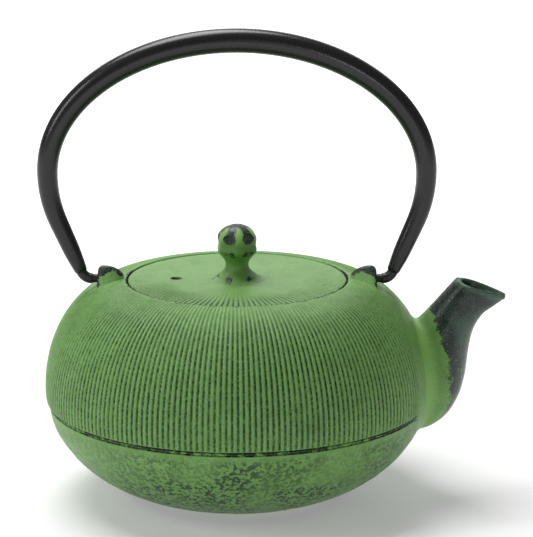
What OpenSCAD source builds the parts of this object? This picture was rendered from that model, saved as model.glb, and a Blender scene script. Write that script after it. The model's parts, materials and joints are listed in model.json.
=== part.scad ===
// Cast iron teapot: a squat ribbed pot with a side spout, a drop-in lid with a bud knob,
// a steel bail handle that folds about two cast lugs, and a lift-out tea infuser.
// Millimetres. Origin: centre of the standing face. +Z up, +X towards the spout;
// the handle stands in the XZ plane and hinges about the X direction.

/* [Pot] */
// Greatest outer radius of the pot
pot_r = 73.5; // [60:0.5:90]
// Height of the pot's top face above the table
pot_h = 84.2; // [70:0.2:102]
// Height of the widest point
belly_z = 43; // [36:0.5:50]
// Thickness of the cast iron wall
wall = 3.2; // [2.6:0.1:4]
// Radius of the flat standing face
foot_r = 27; // [20:0.5:34]
// Radius at which the underside starts to curve up
keel_r = 18; // [12:0.5:20]

/* [Waist line] */
// Height of the dark groove between the ribbed and the hammered part
waist_z = 37; // [33:0.5:40]
// Height of the groove
waist_w = 2; // [1.4:0.1:3]
// Depth of the groove
waist_d = 1.4; // [0.8:0.1:1.6]
// How far the lower part stands back just under the groove
waist_step = 0.7; // [0.3:0.1:1]
// Height over which that step dies out
waist_fade = 9; // [6:0.5:12]

/* [Mouth] */
// Radius of the recess that takes the lid
mouth_r = 42.1; // [36:0.1:48]
// Width of the ledge in the recess
ledge_w = 5; // [4:0.1:6]
// Thickness of the ledge
ledge_t = 3; // [2.4:0.1:4]

/* [Lid] */
// Gap between lid and recess, on the radius
lid_gap = 0.4; // [0.3:0.05:0.8]
// Thickness of the lid plate
lid_t = 3; // [2.4:0.1:4]
// How far the lid's top falls towards its edge
lid_drop = 0.5; // [0.2:0.1:0.8]
// Height of the locating ring under the lid
skirt_h = 6; // [4:0.5:8]
// Thickness of the locating ring
skirt_t = 2; // [1.5:0.1:3]
// Gap between locating ring and infuser, on the radius
skirt_gap = 1; // [0.6:0.1:2]
// Diameter of the steam hole
vent_d = 3.8; // [3:0.1:5]
// Distance of the steam hole from the centre
vent_at = 23.2; // [18:0.2:27]

/* [Knob] */
// Height of the knob above the lid
knob_h = 21.2; // [17:0.2:26]
// Greatest diameter of the bud
knob_d = 15; // [12:0.1:18]
// Diameter of the neck
neck_d = 8.6; // [7:0.1:10]
// Diameter of the flared foot
knob_foot_d = 23; // [20:0.2:28]
// Diameter of the tail that passes through the lid
shank_d = 5; // [4:0.1:6]
// Diameter of the washer under the lid
washer_d = 14; // [11:0.2:17]
// Thickness of the washer
washer_t = 1.2; // [0.8:0.1:1.6]
// Height of the hammered-over end of the tail
clinch_h = 1.8; // [1.2:0.1:2.4]

/* [Spout] */
// How far the lip stands out from the pot's side
spout_reach = 28.8; // [23:0.2:35]
// Half the width of the spout where it leaves the pot
spout_half_w = 17; // [14:0.5:20]
// Thickness of the spout's wall
spout_wall = 2.4; // [1.8:0.1:2.6]

/* [Lugs] */
// Distance from the centre to the outer face of a lug
lug_x = 53; // [50:0.2:56]
// Height of a lug's peak above the pot's top face
lug_rise = 5.1; // [4.4:0.1:7]
// Length of a lug, towards the centre
lug_len = 9.5; // [8.5:0.1:11]
// Width of a lug at its foot
lug_w = 18; // [12:0.5:20]
// Radius of a lug's ridge
lug_ridge_r = 1.8; // [1.4:0.1:2.4]

/* [Handle] */
// Height of the handle's centre line above its pivot
handle_rise = 91.2; // [80:0.2:108]
// Half the width of the handle's centre line
handle_half_w = 71.4; // [66:0.2:84]
// Height of the round top part of the handle
handle_arch = 50.4; // [42:0.2:60]
// Radius of the curve from the sides into the legs
leg_curve_r = 48; // [40:1:56]
// Lean of the legs from the vertical, in degrees
leg_lean = 23.5; // [18:0.5:27]
// Diameter of the handle at the top
handle_d = 9.2; // [7.5:0.1:11]
// Diameter of the handle at its ends
handle_end_d = 5; // [4.6:0.1:6]
// Thickness of the handle's steel
tube_wall = 0.9; // [0.7:0.1:1.2]
// Length of hook wire that is swaged into each end
tail_len = 12; // [8:0.5:16]
// Diameter of the hook wire and its pivot pin
pin_d = 3.2; // [2.6:0.1:3.6]
// Gap between a pin and its hole, on the radius
pin_gap = 0.08; // [0.04:0.01:0.1]
// Length of pin inside a lug
pin_in = 7; // [5:0.2:7.6]
// Bend radius of the hook wire, on its centre line
hook_r = 4.2; // [3.4:0.1:5]

/* [Infuser] */
// Gap between the infuser's collar and the ledge, on the radius
infuser_gap = 0.5; // [0.3:0.1:1]
// Depth of the infuser below the ledge
infuser_depth = 42; // [32:0.5:46]
// Thickness of the infuser's rim sheet
rim_t = 0.6; // [0.4:0.1:1]
// Thickness of the woven mesh
mesh_t = 0.6; // [0.4:0.1:0.8]
// Height of the rim's collar
collar_h = 8; // [6:0.5:12]
// Height of the ring that clamps the mesh bottom
shoe_h = 3; // [2:0.5:5]
// Width of that ring under the mesh bottom
shoe_w = 5; // [3:0.5:8]

/* [Hidden] */

$fn = 96;
EPS = 0.01;
BIG = 400;

// Inside the mouth, from the top down: lid plate, infuser flange, ledge
ledge_z = pot_h - lid_t - rim_t;
ledge_in_r = mouth_r - ledge_w;
lid_r = mouth_r - lid_gap;
lid_z = pot_h - lid_t;
collar_r = ledge_in_r - infuser_gap;
mesh_r = collar_r - rim_t;
infuser_z = ledge_z - infuser_depth;
skirt_r = mesh_r - mesh_t - skirt_gap;

iron_green = [0.36, 0.56, 0.24];
iron_dark = [0.12, 0.20, 0.16];
steel_black = [0.09, 0.09, 0.10];
stainless = [0.76, 0.77, 0.78];

// ---- the pot's section -------------------------------------------------------

// The side is two quarter ellipses that meet at the widest point
function upper_r(z, skin) =
  mouth_r + (pot_r - mouth_r - skin)
    * sqrt(max(0, 1 - pow((z - belly_z) / (pot_h - belly_z - skin), 2)));
function lower_r(z, skin) =
  keel_r + (pot_r - keel_r - skin)
    * sqrt(max(0, 1 - pow((belly_z - z) / (belly_z - skin), 2)));
function side_r(z, skin = 0) = z > belly_z ? upper_r(z, skin) : lower_r(z, skin);
// Height of the pot's outside above a point of the shoulder
function shoulder_z(r) =
  belly_z + (pot_h - belly_z) * sqrt(max(0, 1 - pow((r - mouth_r) / (pot_r - mouth_r), 2)));

waist_low = waist_z - waist_w / 2;
waist_top = waist_z + waist_w / 2;
// The hammered lower part stands back a little, most of all just under the groove
function step_at(z) = waist_step * pow(max(0, 1 - (waist_low - z) / waist_fade), 2);
// Height at which the underside reaches a radius
function underside_z(r) =
  belly_z - belly_z * sqrt(max(0, 1 - pow((r - keel_r) / (pot_r - keel_r), 2)));

low_start = underside_z(foot_r) + 0.3;
low_n = 18;
top_n = 22;

module pot_outside() {
  low_a0 = asin((belly_z - low_start) / belly_z);
  low_a1 = asin((belly_z - waist_low) / belly_z);
  lower = [for (i = [0:low_n])
    let (z = belly_z - belly_z * sin(low_a0 + (low_a1 - low_a0) * i / low_n))
    [lower_r(z, 0) - step_at(z), z]];
  groove = [[lower_r(waist_low, 0) - waist_d, waist_low + waist_w / 4],
    [lower_r(waist_top, 0) - waist_d, waist_top - waist_w / 4]];
  under_belly = [for (i = [0:2])
    let (z = waist_top + (belly_z - waist_top) * i / 3)
    [lower_r(z, 0), z]];
  upper = [for (i = [0:top_n])
    let (a = 90 * i / top_n)
    [mouth_r + (pot_r - mouth_r) * cos(a), belly_z + (pot_h - belly_z) * sin(a)]];
  rotate_extrude()
    polygon(concat([[0, 0], [foot_r, 0]], lower, groove, under_belly, upper, [[0, pot_h]]));
}

module pot_inside() {
  roof_z = ledge_z - ledge_t;
  n = 18;
  roof_a = asin((roof_z - belly_z) / (pot_h - belly_z - wall));
  lower = [for (i = [0:n])
    let (a = 90 - 90 * i / n)
    [keel_r + (pot_r - keel_r - wall) * cos(a), belly_z - (belly_z - wall) * sin(a)]];
  upper = [for (i = [1:n])
    let (a = roof_a * i / n)
    [mouth_r + (pot_r - mouth_r - wall) * cos(a), belly_z + (pot_h - belly_z - wall) * sin(a)]];
  rotate_extrude()
    polygon(concat([[0, wall]], lower, upper, [[ledge_in_r, roof_z], [0, roof_z]]));
}

module pot_mouth() {
  translate([0, 0, ledge_z - ledge_t - 1]) cylinder(h = BIG, r = ledge_in_r);
  translate([0, 0, ledge_z]) cylinder(h = BIG, r = mouth_r);
}

// ---- the spout ---------------------------------------------------------------

// Cross-sections from root to lip. Each runs from a rear point to a front point:
// [rear x, rear height, front x, front height, width, point],
// x as a share of the reach beyond the pot's side, heights as a share of the pot's height,
// width as a share of the root's, and how far the front narrows to a point.
spout_rows = [
  [-0.47, 0.69, -0.47, 0.300, 1.00, 0],
  [-0.26, 0.77, -0.09, 0.298, 0.94, 0],
  [-0.14, 0.815, 0.20, 0.352, 0.84, 0],
  [-0.05, 0.848, 0.385, 0.446, 0.72, 0],
  [0.03, 0.879, 0.475, 0.552, 0.61, 0.05],
  [0.11, 0.910, 0.515, 0.665, 0.52, 0.1],
  [0.185, 0.940, 0.575, 0.762, 0.46, 0.15],
  [0.255, 0.967, 0.695, 0.832, 0.415, 0.25],
  [0.31, 0.988, 0.84, 0.870, 0.38, 0.35],
  [0.345, 0.998, 1.00, 0.908, 0.355, 0.45]];
spout_sides = 24;
rings_per_row = 2;
rear_wall_k = 1.1;
lip_wall_k = 0.8;

function curve(a, b, c, d, t) =
  0.5 * (2 * b + (c - a) * t + (2 * a - 5 * b + 4 * c - d) * t * t
    + (3 * b - a - 3 * c + d) * t * t * t);
function row_at(i) = spout_rows[max(0, min(len(spout_rows) - 1, i))];
function row_between(s) =
  let (i = min(floor(s), len(spout_rows) - 2))
  curve(row_at(i - 1), row_at(i), row_at(i + 1), row_at(i + 2), s - i);

// One ring of points: skin is the wall taken off all round, past carries it on over the rim
function spout_ring(s, skin, past = 0) =
  let (row = row_between(s),
    rear = [pot_r + row[0] * spout_reach, row[1] * pot_h],
    front = [pot_r + row[2] * spout_reach, row[3] * pot_h],
    along = (front - rear) / norm(front - rear),
    out = [-along[1], along[0]],
    a = rear + along * skin * rear_wall_k + out * past,
    b = front - along * skin * lip_wall_k + out * past,
    half = row[4] * spout_half_w - skin * lip_wall_k)
  [for (k = [0:spout_sides - 1])
    let (q = 360 * k / spout_sides,
      mid = (a + b) / 2 - (b - a) / 2 * cos(q),
      y = -half * sin(q) * (1 + row[5] * cos(q)))
    [mid[0], y, mid[1]]];

module skin_of(rings) {
  n = len(rings[0]);
  last = len(rings) - 1;
  polyhedron(
    points = [for (ring = rings, p = ring) p],
    faces = concat(
      [[for (k = [0:n - 1]) k]],
      [[for (k = [n - 1:-1:0]) last * n + k]],
      [for (i = [0:last - 1], k = [0:n - 1])
        let (j = (k + 1) % n)
        [i * n + k, (i + 1) * n + k, (i + 1) * n + j]],
      [for (i = [0:last - 1], k = [0:n - 1])
        let (j = (k + 1) % n)
        [i * n + k, (i + 1) * n + j, i * n + j]]));
}

spout_last = (len(spout_rows) - 1) * rings_per_row;
module spout_outside() {
  skin_of([for (i = [0:spout_last]) spout_ring(i / rings_per_row, 0)]);
}
module spout_channel() {
  over = 3;
  skin_of(concat(
    [for (i = [0:spout_last]) spout_ring(i / rings_per_row, spout_wall)],
    [spout_ring(len(spout_rows) - 1, spout_wall, over)]));
}

// ---- the lugs ----------------------------------------------------------------

module lug() {
  foot_t = 1;
  foot_sink = 2.5;
  peak_z = pot_h + lug_rise - lug_ridge_r;
  inner_x = lug_x - lug_len;
  foot_mid = lug_x - lug_len * 0.45;
  hull() {
    translate([lug_x - lug_ridge_r, 0, peak_z]) sphere(r = lug_ridge_r, $fn = 32);
    translate([inner_x + lug_ridge_r, 0, shoulder_z(inner_x)]) sphere(r = lug_ridge_r, $fn = 32);
    translate([lug_x - foot_t, 0, shoulder_z(lug_x) - foot_sink / 2])
      rotate([0, 90, 0])
        scale([foot_sink / lug_w * 2, 1, 1]) cylinder(h = foot_t, d = lug_w, $fn = 32);
    translate([foot_mid, 0, shoulder_z(foot_mid) - foot_sink])
      cylinder(h = foot_t, d = lug_w * 0.7, $fn = 32);
  }
}

module pin_bore() {
  end_gap = 0.4;
  translate([lug_x - pin_in - end_gap, 0, pivot_z])
    rotate([0, 90, 0]) cylinder(h = pin_in + end_gap + 4, r = pin_d / 2 + pin_gap);
}

module pot_body() {
  color(iron_green)
    difference() {
      union() {
        pot_outside();
        spout_outside();
        lug();
        mirror([1, 0, 0]) lug();
      }
      pot_inside();
      pot_mouth();
      spout_channel();
      pin_bore();
      mirror([1, 0, 0]) pin_bore();
    }
}

// ---- lid and knob ------------------------------------------------------------

lid_flat_r = knob_foot_d / 2 + 1;
shank_gap = 0.1;
module lid() {
  edge_r = 0.8;
  n = 8;
  edge_start = lid_r - edge_r * 0.7;
  dome = [for (i = [0:n])
    let (u = i / n)
    [lid_flat_r + (edge_start - lid_flat_r) * u, pot_h - lid_drop * u * u]];
  edge = [for (a = [45:-15:0])
    [lid_r - edge_r + edge_r * cos(a), pot_h - lid_drop - edge_r + edge_r * sin(a)]];
  color(iron_green)
    difference() {
      union() {
        rotate_extrude()
          polygon(concat([[0, pot_h]], dome, edge, [[lid_r, lid_z], [0, lid_z]]));
        translate([0, 0, lid_z - skirt_h])
          difference() {
            cylinder(h = skirt_h + 1, r = skirt_r);
            translate([0, 0, -1]) cylinder(h = skirt_h + 1, r = skirt_r - skirt_t);
          }
      }
      translate([0, 0, lid_z - 1]) cylinder(h = BIG, r = shank_d / 2 + shank_gap);
      translate([-vent_at, 0, lid_z - 1]) cylinder(h = BIG, d = vent_d);
    }
}

// The bud above its neck, as shares of its own radius and of the knob's height
bud = [[1, 0.53], [0.93, 0.63], [0.98, 0.73], [0.93, 0.81], [0.76, 0.90], [0.42, 0.97]];
neck_low = 0.18;
neck_high = 0.27;
clinch_flare = 1.2;

module knob() {
  big_r = knob_foot_d / 2;
  neck_r = neck_d / 2;
  foot_t = 0.4;
  flare_h = knob_h * neck_low - foot_t;
  swell_h = knob_h * (bud[0][1] - neck_high);
  flare = [for (i = [0:6])
    let (a = 90 * i / 6)
    [big_r - (big_r - neck_r) * sin(a), foot_t + flare_h * (1 - cos(a))]];
  swell = [for (i = [0:4])
    let (u = i / 5)
    [neck_r + (knob_d / 2 - neck_r) * (1 - cos(90 * u)), knob_h * neck_high + swell_h * u]];
  head = [for (p = bud) [p[0] * knob_d / 2, p[1] * knob_h]];
  color(iron_dark) {
    translate([0, 0, pot_h])
      rotate_extrude()
        polygon(concat([[0, 0], [big_r, 0]], flare, swell, head, [[0, knob_h]]));
    translate([0, 0, lid_z - washer_t - EPS])
      cylinder(h = lid_t + washer_t + 1, d = shank_d);
    translate([0, 0, lid_z - washer_t - clinch_h])
      cylinder(h = clinch_h, r1 = shank_d / 2, r2 = shank_d / 2 + clinch_flare);
  }
}

module knob_washer() {
  color(stainless)
    translate([0, 0, lid_z - washer_t])
      difference() {
        cylinder(h = washer_t, d = washer_d);
        translate([0, 0, -1]) cylinder(h = washer_t + 2, r = shank_d / 2 + shank_gap);
      }
}

// ---- handle ------------------------------------------------------------------

// Centre line of one side, from the hook up to the top of the arch
leg_top_x = handle_half_w - leg_curve_r * (1 - cos(leg_lean));
leg_rise = handle_rise - handle_arch - leg_curve_r * sin(leg_lean);
corner_x = leg_top_x - leg_rise * tan(leg_lean);
hook_turn = 90 - leg_lean;
hook_tangent = hook_r * tan(hook_turn / 2);
leg_len = leg_rise / cos(leg_lean) - hook_tangent;
// The hook's bend is upset thicker than the wire, and it clears the shoulder below it
bend_d = pin_d + 0.8;
bend_x = corner_x - hook_tangent;
shoulder_gap = 0.3;
pivot_z = max(pot_h, shoulder_z(bend_x) + bend_d / 2 + shoulder_gap);
arch_z = pivot_z + handle_rise - handle_arch;
tube_start = 0.4;
leg_n = 3;
curve_n = 4;
arch_n = 12;
tube_sides = 18;

// A point of the leg, counted from where the hook's bend ends: [x, z, lean of the tube]
function leg_at(d) = [
  corner_x + (hook_tangent + d) * sin(leg_lean),
  pivot_z + (hook_tangent + d) * cos(leg_lean), leg_lean];
function half_path(start) = concat(
  [for (i = [0:leg_n - 1]) leg_at(start + (leg_len - start) * i / leg_n)],
  [for (i = [0:curve_n - 1])
    let (a = leg_lean * (1 - i / curve_n))
    [handle_half_w - leg_curve_r * (1 - cos(a)), arch_z - leg_curve_r * sin(a), a]],
  [for (i = [0:arch_n])
    let (a = 90 * i / arch_n)
    [handle_half_w * cos(a), arch_z + handle_arch * sin(a),
      -atan2(handle_half_w * sin(a), handle_arch * cos(a))]]);
function full_path(start) =
  let (right = half_path(start), n = len(right))
  concat(right, [for (i = [n - 2:-1:0]) [-right[i][0], right[i][1], 180 - right[i][2]]]);
// The tube swells quickly from its ends, then slowly towards the top
tube_swell = 0.45;
function tube_d(z) =
  handle_end_d + (handle_d - handle_end_d)
    * pow(max(0, (z - leg_at(0)[1]) / (pivot_z + handle_rise - leg_at(0)[1])), tube_swell);
function tube_ring(p, skin) =
  [for (k = [0:tube_sides - 1])
    let (q = 360 * k / tube_sides, r = tube_d(p[1]) / 2 - skin)
    [p[0] + r * cos(q) * cos(p[2]), r * sin(q), p[1] - r * cos(q) * sin(p[2])]];
module tube_skin(start, skin) {
  skin_of([for (p = full_path(start)) tube_ring(p, skin)]);
}

module handle_tube() {
  color(steel_black)
    difference() {
      tube_skin(tube_start, 0);
      tube_skin(tube_start + tail_len, tube_wall);
      for (side = [0, 1])
        mirror([side, 0, 0])
          translate([leg_at(0)[0], 0, leg_at(0)[1]])
            rotate([0, leg_lean, 0]) cylinder(h = tube_start + tail_len + 1, d = pin_d);
    }
}

module hook() {
  into_bend = 0.3;
  pin_x = lug_x - pin_in;
  color(steel_black) {
    translate([pin_x, 0, pivot_z])
      rotate([0, 90, 0]) cylinder(h = bend_x - pin_x + into_bend, d = pin_d);
    translate([bend_x, 0, pivot_z + hook_r])
      rotate([90, 0, 0])
        rotate([0, 0, -90])
          rotate_extrude(angle = hook_turn) translate([hook_r, 0]) circle(d = bend_d);
    translate([leg_at(-into_bend)[0], 0, leg_at(-into_bend)[1]])
      rotate([0, leg_lean, 0]) cylinder(h = into_bend + tube_start + tail_len, d = pin_d);
  }
}
module handle_hook_right() {
  hook();
}
module handle_hook_left() {
  mirror([1, 0, 0]) hook();
}

// ---- infuser -----------------------------------------------------------------

flange_gap = 0.8;
module ring(z, h, outer, inner) {
  translate([0, 0, z])
    difference() {
      cylinder(h = h, r = outer);
      translate([0, 0, -1]) cylinder(h = h + 2, r = inner);
    }
}
module infuser_rim() {
  color(stainless) {
    ring(ledge_z, rim_t, mouth_r - flange_gap, mesh_r);
    ring(ledge_z - collar_h, collar_h + rim_t / 2, collar_r, mesh_r);
  }
}
module infuser_wall_mesh() {
  color(stainless)
    ring(infuser_z + rim_t, infuser_depth - rim_t - 1, mesh_r, mesh_r - mesh_t);
}
module infuser_base_mesh() {
  color(stainless)
    translate([0, 0, infuser_z + rim_t]) cylinder(h = mesh_t, r = mesh_r - mesh_t);
}
module infuser_base_ring() {
  color(stainless) {
    ring(infuser_z, rim_t, collar_r, mesh_r - shoe_w);
    ring(infuser_z + rim_t / 2, shoe_h, collar_r, mesh_r);
  }
}

pot_body();
lid();
knob();
knob_washer();
handle_tube();
handle_hook_left();
handle_hook_right();
infuser_rim();
infuser_wall_mesh();
infuser_base_mesh();
infuser_base_ring();
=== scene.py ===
# %% [markdown]
# A cast iron teapot: a squat ribbed pot with a side spout, a drop-in lid with a bud knob,
# a black bail handle that folds about two cast lugs, and a lift-out tea infuser.
# The working model is loaded first as a fixed frame. Every piece below is built around it,
# in metres and in the same place, and rides on one of its four moving bodies.
# %% Load the frame
import json
import math

import bmesh
import bpy
import numpy as np
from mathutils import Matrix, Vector, noise

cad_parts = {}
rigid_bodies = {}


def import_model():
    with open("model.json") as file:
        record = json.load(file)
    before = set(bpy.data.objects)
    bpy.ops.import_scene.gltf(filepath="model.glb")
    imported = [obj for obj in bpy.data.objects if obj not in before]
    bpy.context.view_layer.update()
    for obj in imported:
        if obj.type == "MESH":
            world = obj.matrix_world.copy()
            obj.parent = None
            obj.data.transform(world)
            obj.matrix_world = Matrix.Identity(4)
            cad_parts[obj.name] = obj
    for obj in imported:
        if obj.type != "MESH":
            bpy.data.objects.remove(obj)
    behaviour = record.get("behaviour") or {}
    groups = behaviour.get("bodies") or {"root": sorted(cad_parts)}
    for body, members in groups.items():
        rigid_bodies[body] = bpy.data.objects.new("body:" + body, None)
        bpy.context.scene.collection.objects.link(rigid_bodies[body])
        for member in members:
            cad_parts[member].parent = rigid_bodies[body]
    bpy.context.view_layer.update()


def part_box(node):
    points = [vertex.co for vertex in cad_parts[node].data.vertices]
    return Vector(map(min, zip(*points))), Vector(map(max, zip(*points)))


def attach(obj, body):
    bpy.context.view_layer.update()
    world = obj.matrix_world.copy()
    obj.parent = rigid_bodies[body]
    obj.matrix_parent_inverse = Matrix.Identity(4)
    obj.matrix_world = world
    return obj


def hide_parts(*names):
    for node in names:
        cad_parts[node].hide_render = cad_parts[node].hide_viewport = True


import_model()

MM = 0.001

# %% [markdown]
# The camera comes first, so that every later step can be looked at. It stands in front of
# the pot with the spout on the right, about a metre away, looking down at 14 degrees.
# A long lens keeps the handle's two legs almost parallel, as a product shot does.
# %% Camera
cam_data = bpy.data.cameras.new("camera")
cam = bpy.data.objects.new("camera", cam_data)
bpy.context.scene.collection.objects.link(cam)
bpy.context.scene.camera = cam
LOOK_AT = Vector((0.01116, 0, 0.08797))
LOOK_DOWN = math.radians(14.02)
CAMERA_AWAY = 1.026
cam.location = LOOK_AT + CAMERA_AWAY * Vector((0, -math.cos(LOOK_DOWN), math.sin(LOOK_DOWN)))
cam.rotation_euler = (math.pi / 2 - LOOK_DOWN, 0, 0)
cam_data.sensor_width = 36
cam_data.lens = 181
cam_data.clip_start, cam_data.clip_end = 0.05, 50
print("camera at", [round(v, 3) for v in cam.location])

# %% [markdown]
# Light decides how iron reads. A wide soft key from above and behind lights the lid and
# shoulder, and a low panel at the back lays a pale sheen on them. A small lamp in front puts
# glints in the grooves, a strip on the left runs a highlight down the spout, and the pale
# floor throws light back under the belly. The floor is one large disc.
# %% Light and floor
bpy.context.scene.view_settings.view_transform = "Standard"
world = bpy.data.worlds.new("studio")
bpy.context.scene.world = world
world.use_nodes = True
world.node_tree.nodes["Background"].inputs["Color"].default_value = (1, 1, 1, 1)
world.node_tree.nodes["Background"].inputs["Strength"].default_value = 0.17


def soft_box(name, place, size, power, aim=(0, 0, 0.06)):
    data = bpy.data.lights.new(name, "AREA")
    data.shape, data.size, data.size_y, data.energy = "RECTANGLE", size[0], size[1], power
    box = bpy.data.objects.new(name, data)
    box.location = place
    box.rotation_euler = (Vector(aim) - Vector(place)).to_track_quat("-Z", "Y").to_euler()
    bpy.context.scene.collection.objects.link(box)


soft_box("key", (-0.22, 0.26, 1.10), (0.8, 0.6), 14.0)
soft_box("back_panel", (0.0, 1.45, 0.70), (1.7, 0.6), 5.2, (0, 0, 0.08))
soft_box("front_fill", (0.38, -1.45, 0.36), (0.18, 0.18), 1.5)
soft_box("left_strip", (-1.0, -0.42, 0.60), (0.12, 0.6), 3.6)

FLOOR_R = 6.0
bpy.ops.mesh.primitive_circle_add(vertices=96, radius=FLOOR_R, fill_type="NGON")
floor = bpy.context.object
floor.name = "floor"
paper = bpy.data.materials.new("pale_floor")
paper.use_nodes = True
floor_sheen = paper.node_tree.nodes["Principled BSDF"]
floor_sheen.inputs["Base Color"].default_value = (0.68, 0.68, 0.68, 1)
floor_sheen.inputs["Roughness"].default_value = 0.9
floor_sheen.inputs["Emission Color"].default_value = (1, 1, 1, 1)
# the paper glows a little far from the pot, where the key no longer reaches
far = paper.node_tree.nodes.new("ShaderNodeVectorMath")
far.operation = "LENGTH"
paper.node_tree.links.new(paper.node_tree.nodes.new("ShaderNodeTexCoord").outputs["Object"], far.inputs[0])
ramp = paper.node_tree.nodes.new("ShaderNodeMapRange")
ramp.interpolation_type = "SMOOTHSTEP"
for socket, value in (("From Min", 0.10), ("From Max", 0.70), ("To Min", 0.26), ("To Max", 0.88)):
    ramp.inputs[socket].default_value = value
paper.node_tree.links.new(far.outputs["Value"], ramp.inputs["Value"])
paper.node_tree.links.new(ramp.outputs["Result"], floor_sheen.inputs["Emission Strength"])
floor.data.materials.append(paper)

# %% [markdown]
# Sizes. The pot's side is two quarter ellipses that meet at the widest point. The frame gives
# its radius and heights, so the looks follow the working model when that changes.
# Everything is worked out in millimetres and turned into metres when a mesh is made.
# %% Sizes
lid_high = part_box("lid")[1] / MM
body_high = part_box("pot_body")[1] / MM
POT_H = lid_high.z
POT_R = body_high.y
LID_R = lid_high.x
LID_GAP = 0.4
MOUTH_R = LID_R + LID_GAP
LID_T = 3.0
RIM_T = 0.6
LEDGE_Z = POT_H - LID_T - RIM_T
LEDGE_W = 5.0
LEDGE_T = 3.0
LEDGE_R = MOUTH_R - LEDGE_W
BELLY_Z = 43.0
KEEL_R = 18.0
FOOT_R = 27.0
WALL = 3.2
WAIST_TOP, WAIST_LOW = 38.0, 36.0
WAIST_STEP, WAIST_FADE = 0.7, 9.0
PIVOT_Z = POT_H


def side_r(z, skin=0.0):
    """Radius of the pot's side at a height, less a skin."""
    z = np.asarray(z, float)
    up = MOUTH_R + (POT_R - MOUTH_R - skin) * np.sqrt(
        np.clip(1 - ((z - BELLY_Z) / (POT_H - BELLY_Z - skin)) ** 2, 0, 1))
    low = KEEL_R + (POT_R - KEEL_R - skin) * np.sqrt(
        np.clip(1 - ((BELLY_Z - z) / (BELLY_Z - skin)) ** 2, 0, 1))
    return np.where(z > BELLY_Z, up, low)


def shoulder_z(r):
    return BELLY_Z + (POT_H - BELLY_Z) * np.sqrt(
        np.clip(1 - ((np.asarray(r, float) - MOUTH_R) / (POT_R - MOUTH_R)) ** 2, 0, 1))


def smooth(lo, hi, v):
    """0 below lo, 1 above hi, with a soft step between."""
    t = np.clip((np.asarray(v, float) - lo) / (hi - lo), 0, 1)
    return t * t * (3 - 2 * t)


print(f"pot radius {POT_R:.1f}, top face {POT_H:.1f}, mouth radius {MOUTH_R:.1f} mm")

# %% [markdown]
# Most pieces are turned or swept, so one helper joins rings of points into faces. When a ring
# has three or two times the points of its neighbour, wide faces bridge the two, which spends
# the points only where there is fine relief. Closed rows make a ring-shaped solid, and a
# single point closes a pole.
# %% Mesh helpers
def bridge(a, na, b, nb):
    """Faces between a ring of na points that starts at index a and one of nb at b."""
    if na == 1:
        return [(a, b + j, b + (j + 1) % nb) for j in range(nb)]
    if nb == 1:
        return [(a + (j + 1) % na, a + j, b) for j in range(na)]
    faces = []
    if na > nb:
        k = na // nb
        for j in range(nb):
            fine = [a + (j * k + i) % na for i in range(k, -1, -1)]
            faces.append((*fine, b + j, b + (j + 1) % nb))
    else:
        k = nb // na
        for j in range(na):
            fine = [b + (j * k + i) % nb for i in range(k + 1)]
            faces.append((a + (j + 1) % na, a + j, *fine))
    return faces


def make_mesh(name, points, faces, sharp=35.0):
    """A mesh object from points in millimetres, with its faces turned outward."""
    mesh = bpy.data.meshes.new(name)
    mesh.from_pydata((np.asarray(points, float) * MM).tolist(), [], [list(f) for f in faces])
    bm = bmesh.new()
    bm.from_mesh(mesh)
    bmesh.ops.recalc_face_normals(bm, faces=bm.faces)
    if bm.calc_volume(signed=True) < 0:
        bmesh.ops.reverse_faces(bm, faces=bm.faces)
    bm.to_mesh(mesh)
    bm.free()
    mesh.shade_smooth()
    if sharp:
        mesh.set_sharp_from_angle(angle=math.radians(sharp))
    obj = bpy.data.objects.new(name, mesh)
    bpy.context.scene.collection.objects.link(obj)
    return obj


def loft(name, rings, ring_solid=False, sharp=35.0):
    """Joins rings of points. ring_solid joins the last ring to the first."""
    points, faces, starts = [], [], []
    for ring in rings:
        starts.append(len(points))
        points.extend(ring)
    for i in range(len(rings) - 1):
        faces += bridge(starts[i], len(rings[i]), starts[i + 1], len(rings[i + 1]))
    if ring_solid:
        faces += bridge(starts[-1], len(rings[-1]), starts[0], len(rings[0]))
    return make_mesh(name, points, faces, sharp)


def turn(r, z, n):
    """A ring of n points about the Z axis. r may be one value for each point."""
    if n == 1:
        return [(0.0, 0.0, float(z))]
    t = 2 * np.pi * np.arange(n) / n
    r = np.broadcast_to(r, n)
    return np.column_stack([r * np.cos(t), r * np.sin(t), np.broadcast_to(z, n)]).tolist()


def to_plain(obj):
    """Replaces a piece by the mesh that its modifiers make."""
    bpy.context.view_layer.update()
    depsgraph = bpy.context.evaluated_depsgraph_get()
    mesh = bpy.data.meshes.new_from_object(obj.evaluated_get(depsgraph), preserve_all_data_layers=True,
                                           depsgraph=depsgraph)
    obj.modifiers.clear()
    obj.data = mesh
    mesh.name = obj.name
    return obj


def cut_or_join(obj, tool, operation):
    """Joins a tool solid to a piece or cuts it away, and removes the tool."""
    mod = obj.modifiers.new(operation.lower(), "BOOLEAN")
    mod.operation, mod.object, mod.solver = operation, tool, "MANIFOLD"
    to_plain(obj)
    bpy.data.objects.remove(tool)


def paint(obj, name, values):
    """Stores one number for each point of a piece, for its material to read."""
    layer = obj.data.attributes.get(name) or obj.data.attributes.new(name, "FLOAT", "POINT")
    layer.data.foreach_set("value", np.asarray(values, np.float32))


def points_of(obj):
    co = np.empty(len(obj.data.vertices) * 3, np.float32)
    obj.data.vertices.foreach_get("co", co)
    return co.reshape(-1, 3).astype(float) / MM


def triangles(obj):
    return sum(len(p.vertices) - 2 for p in obj.data.polygons)


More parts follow.
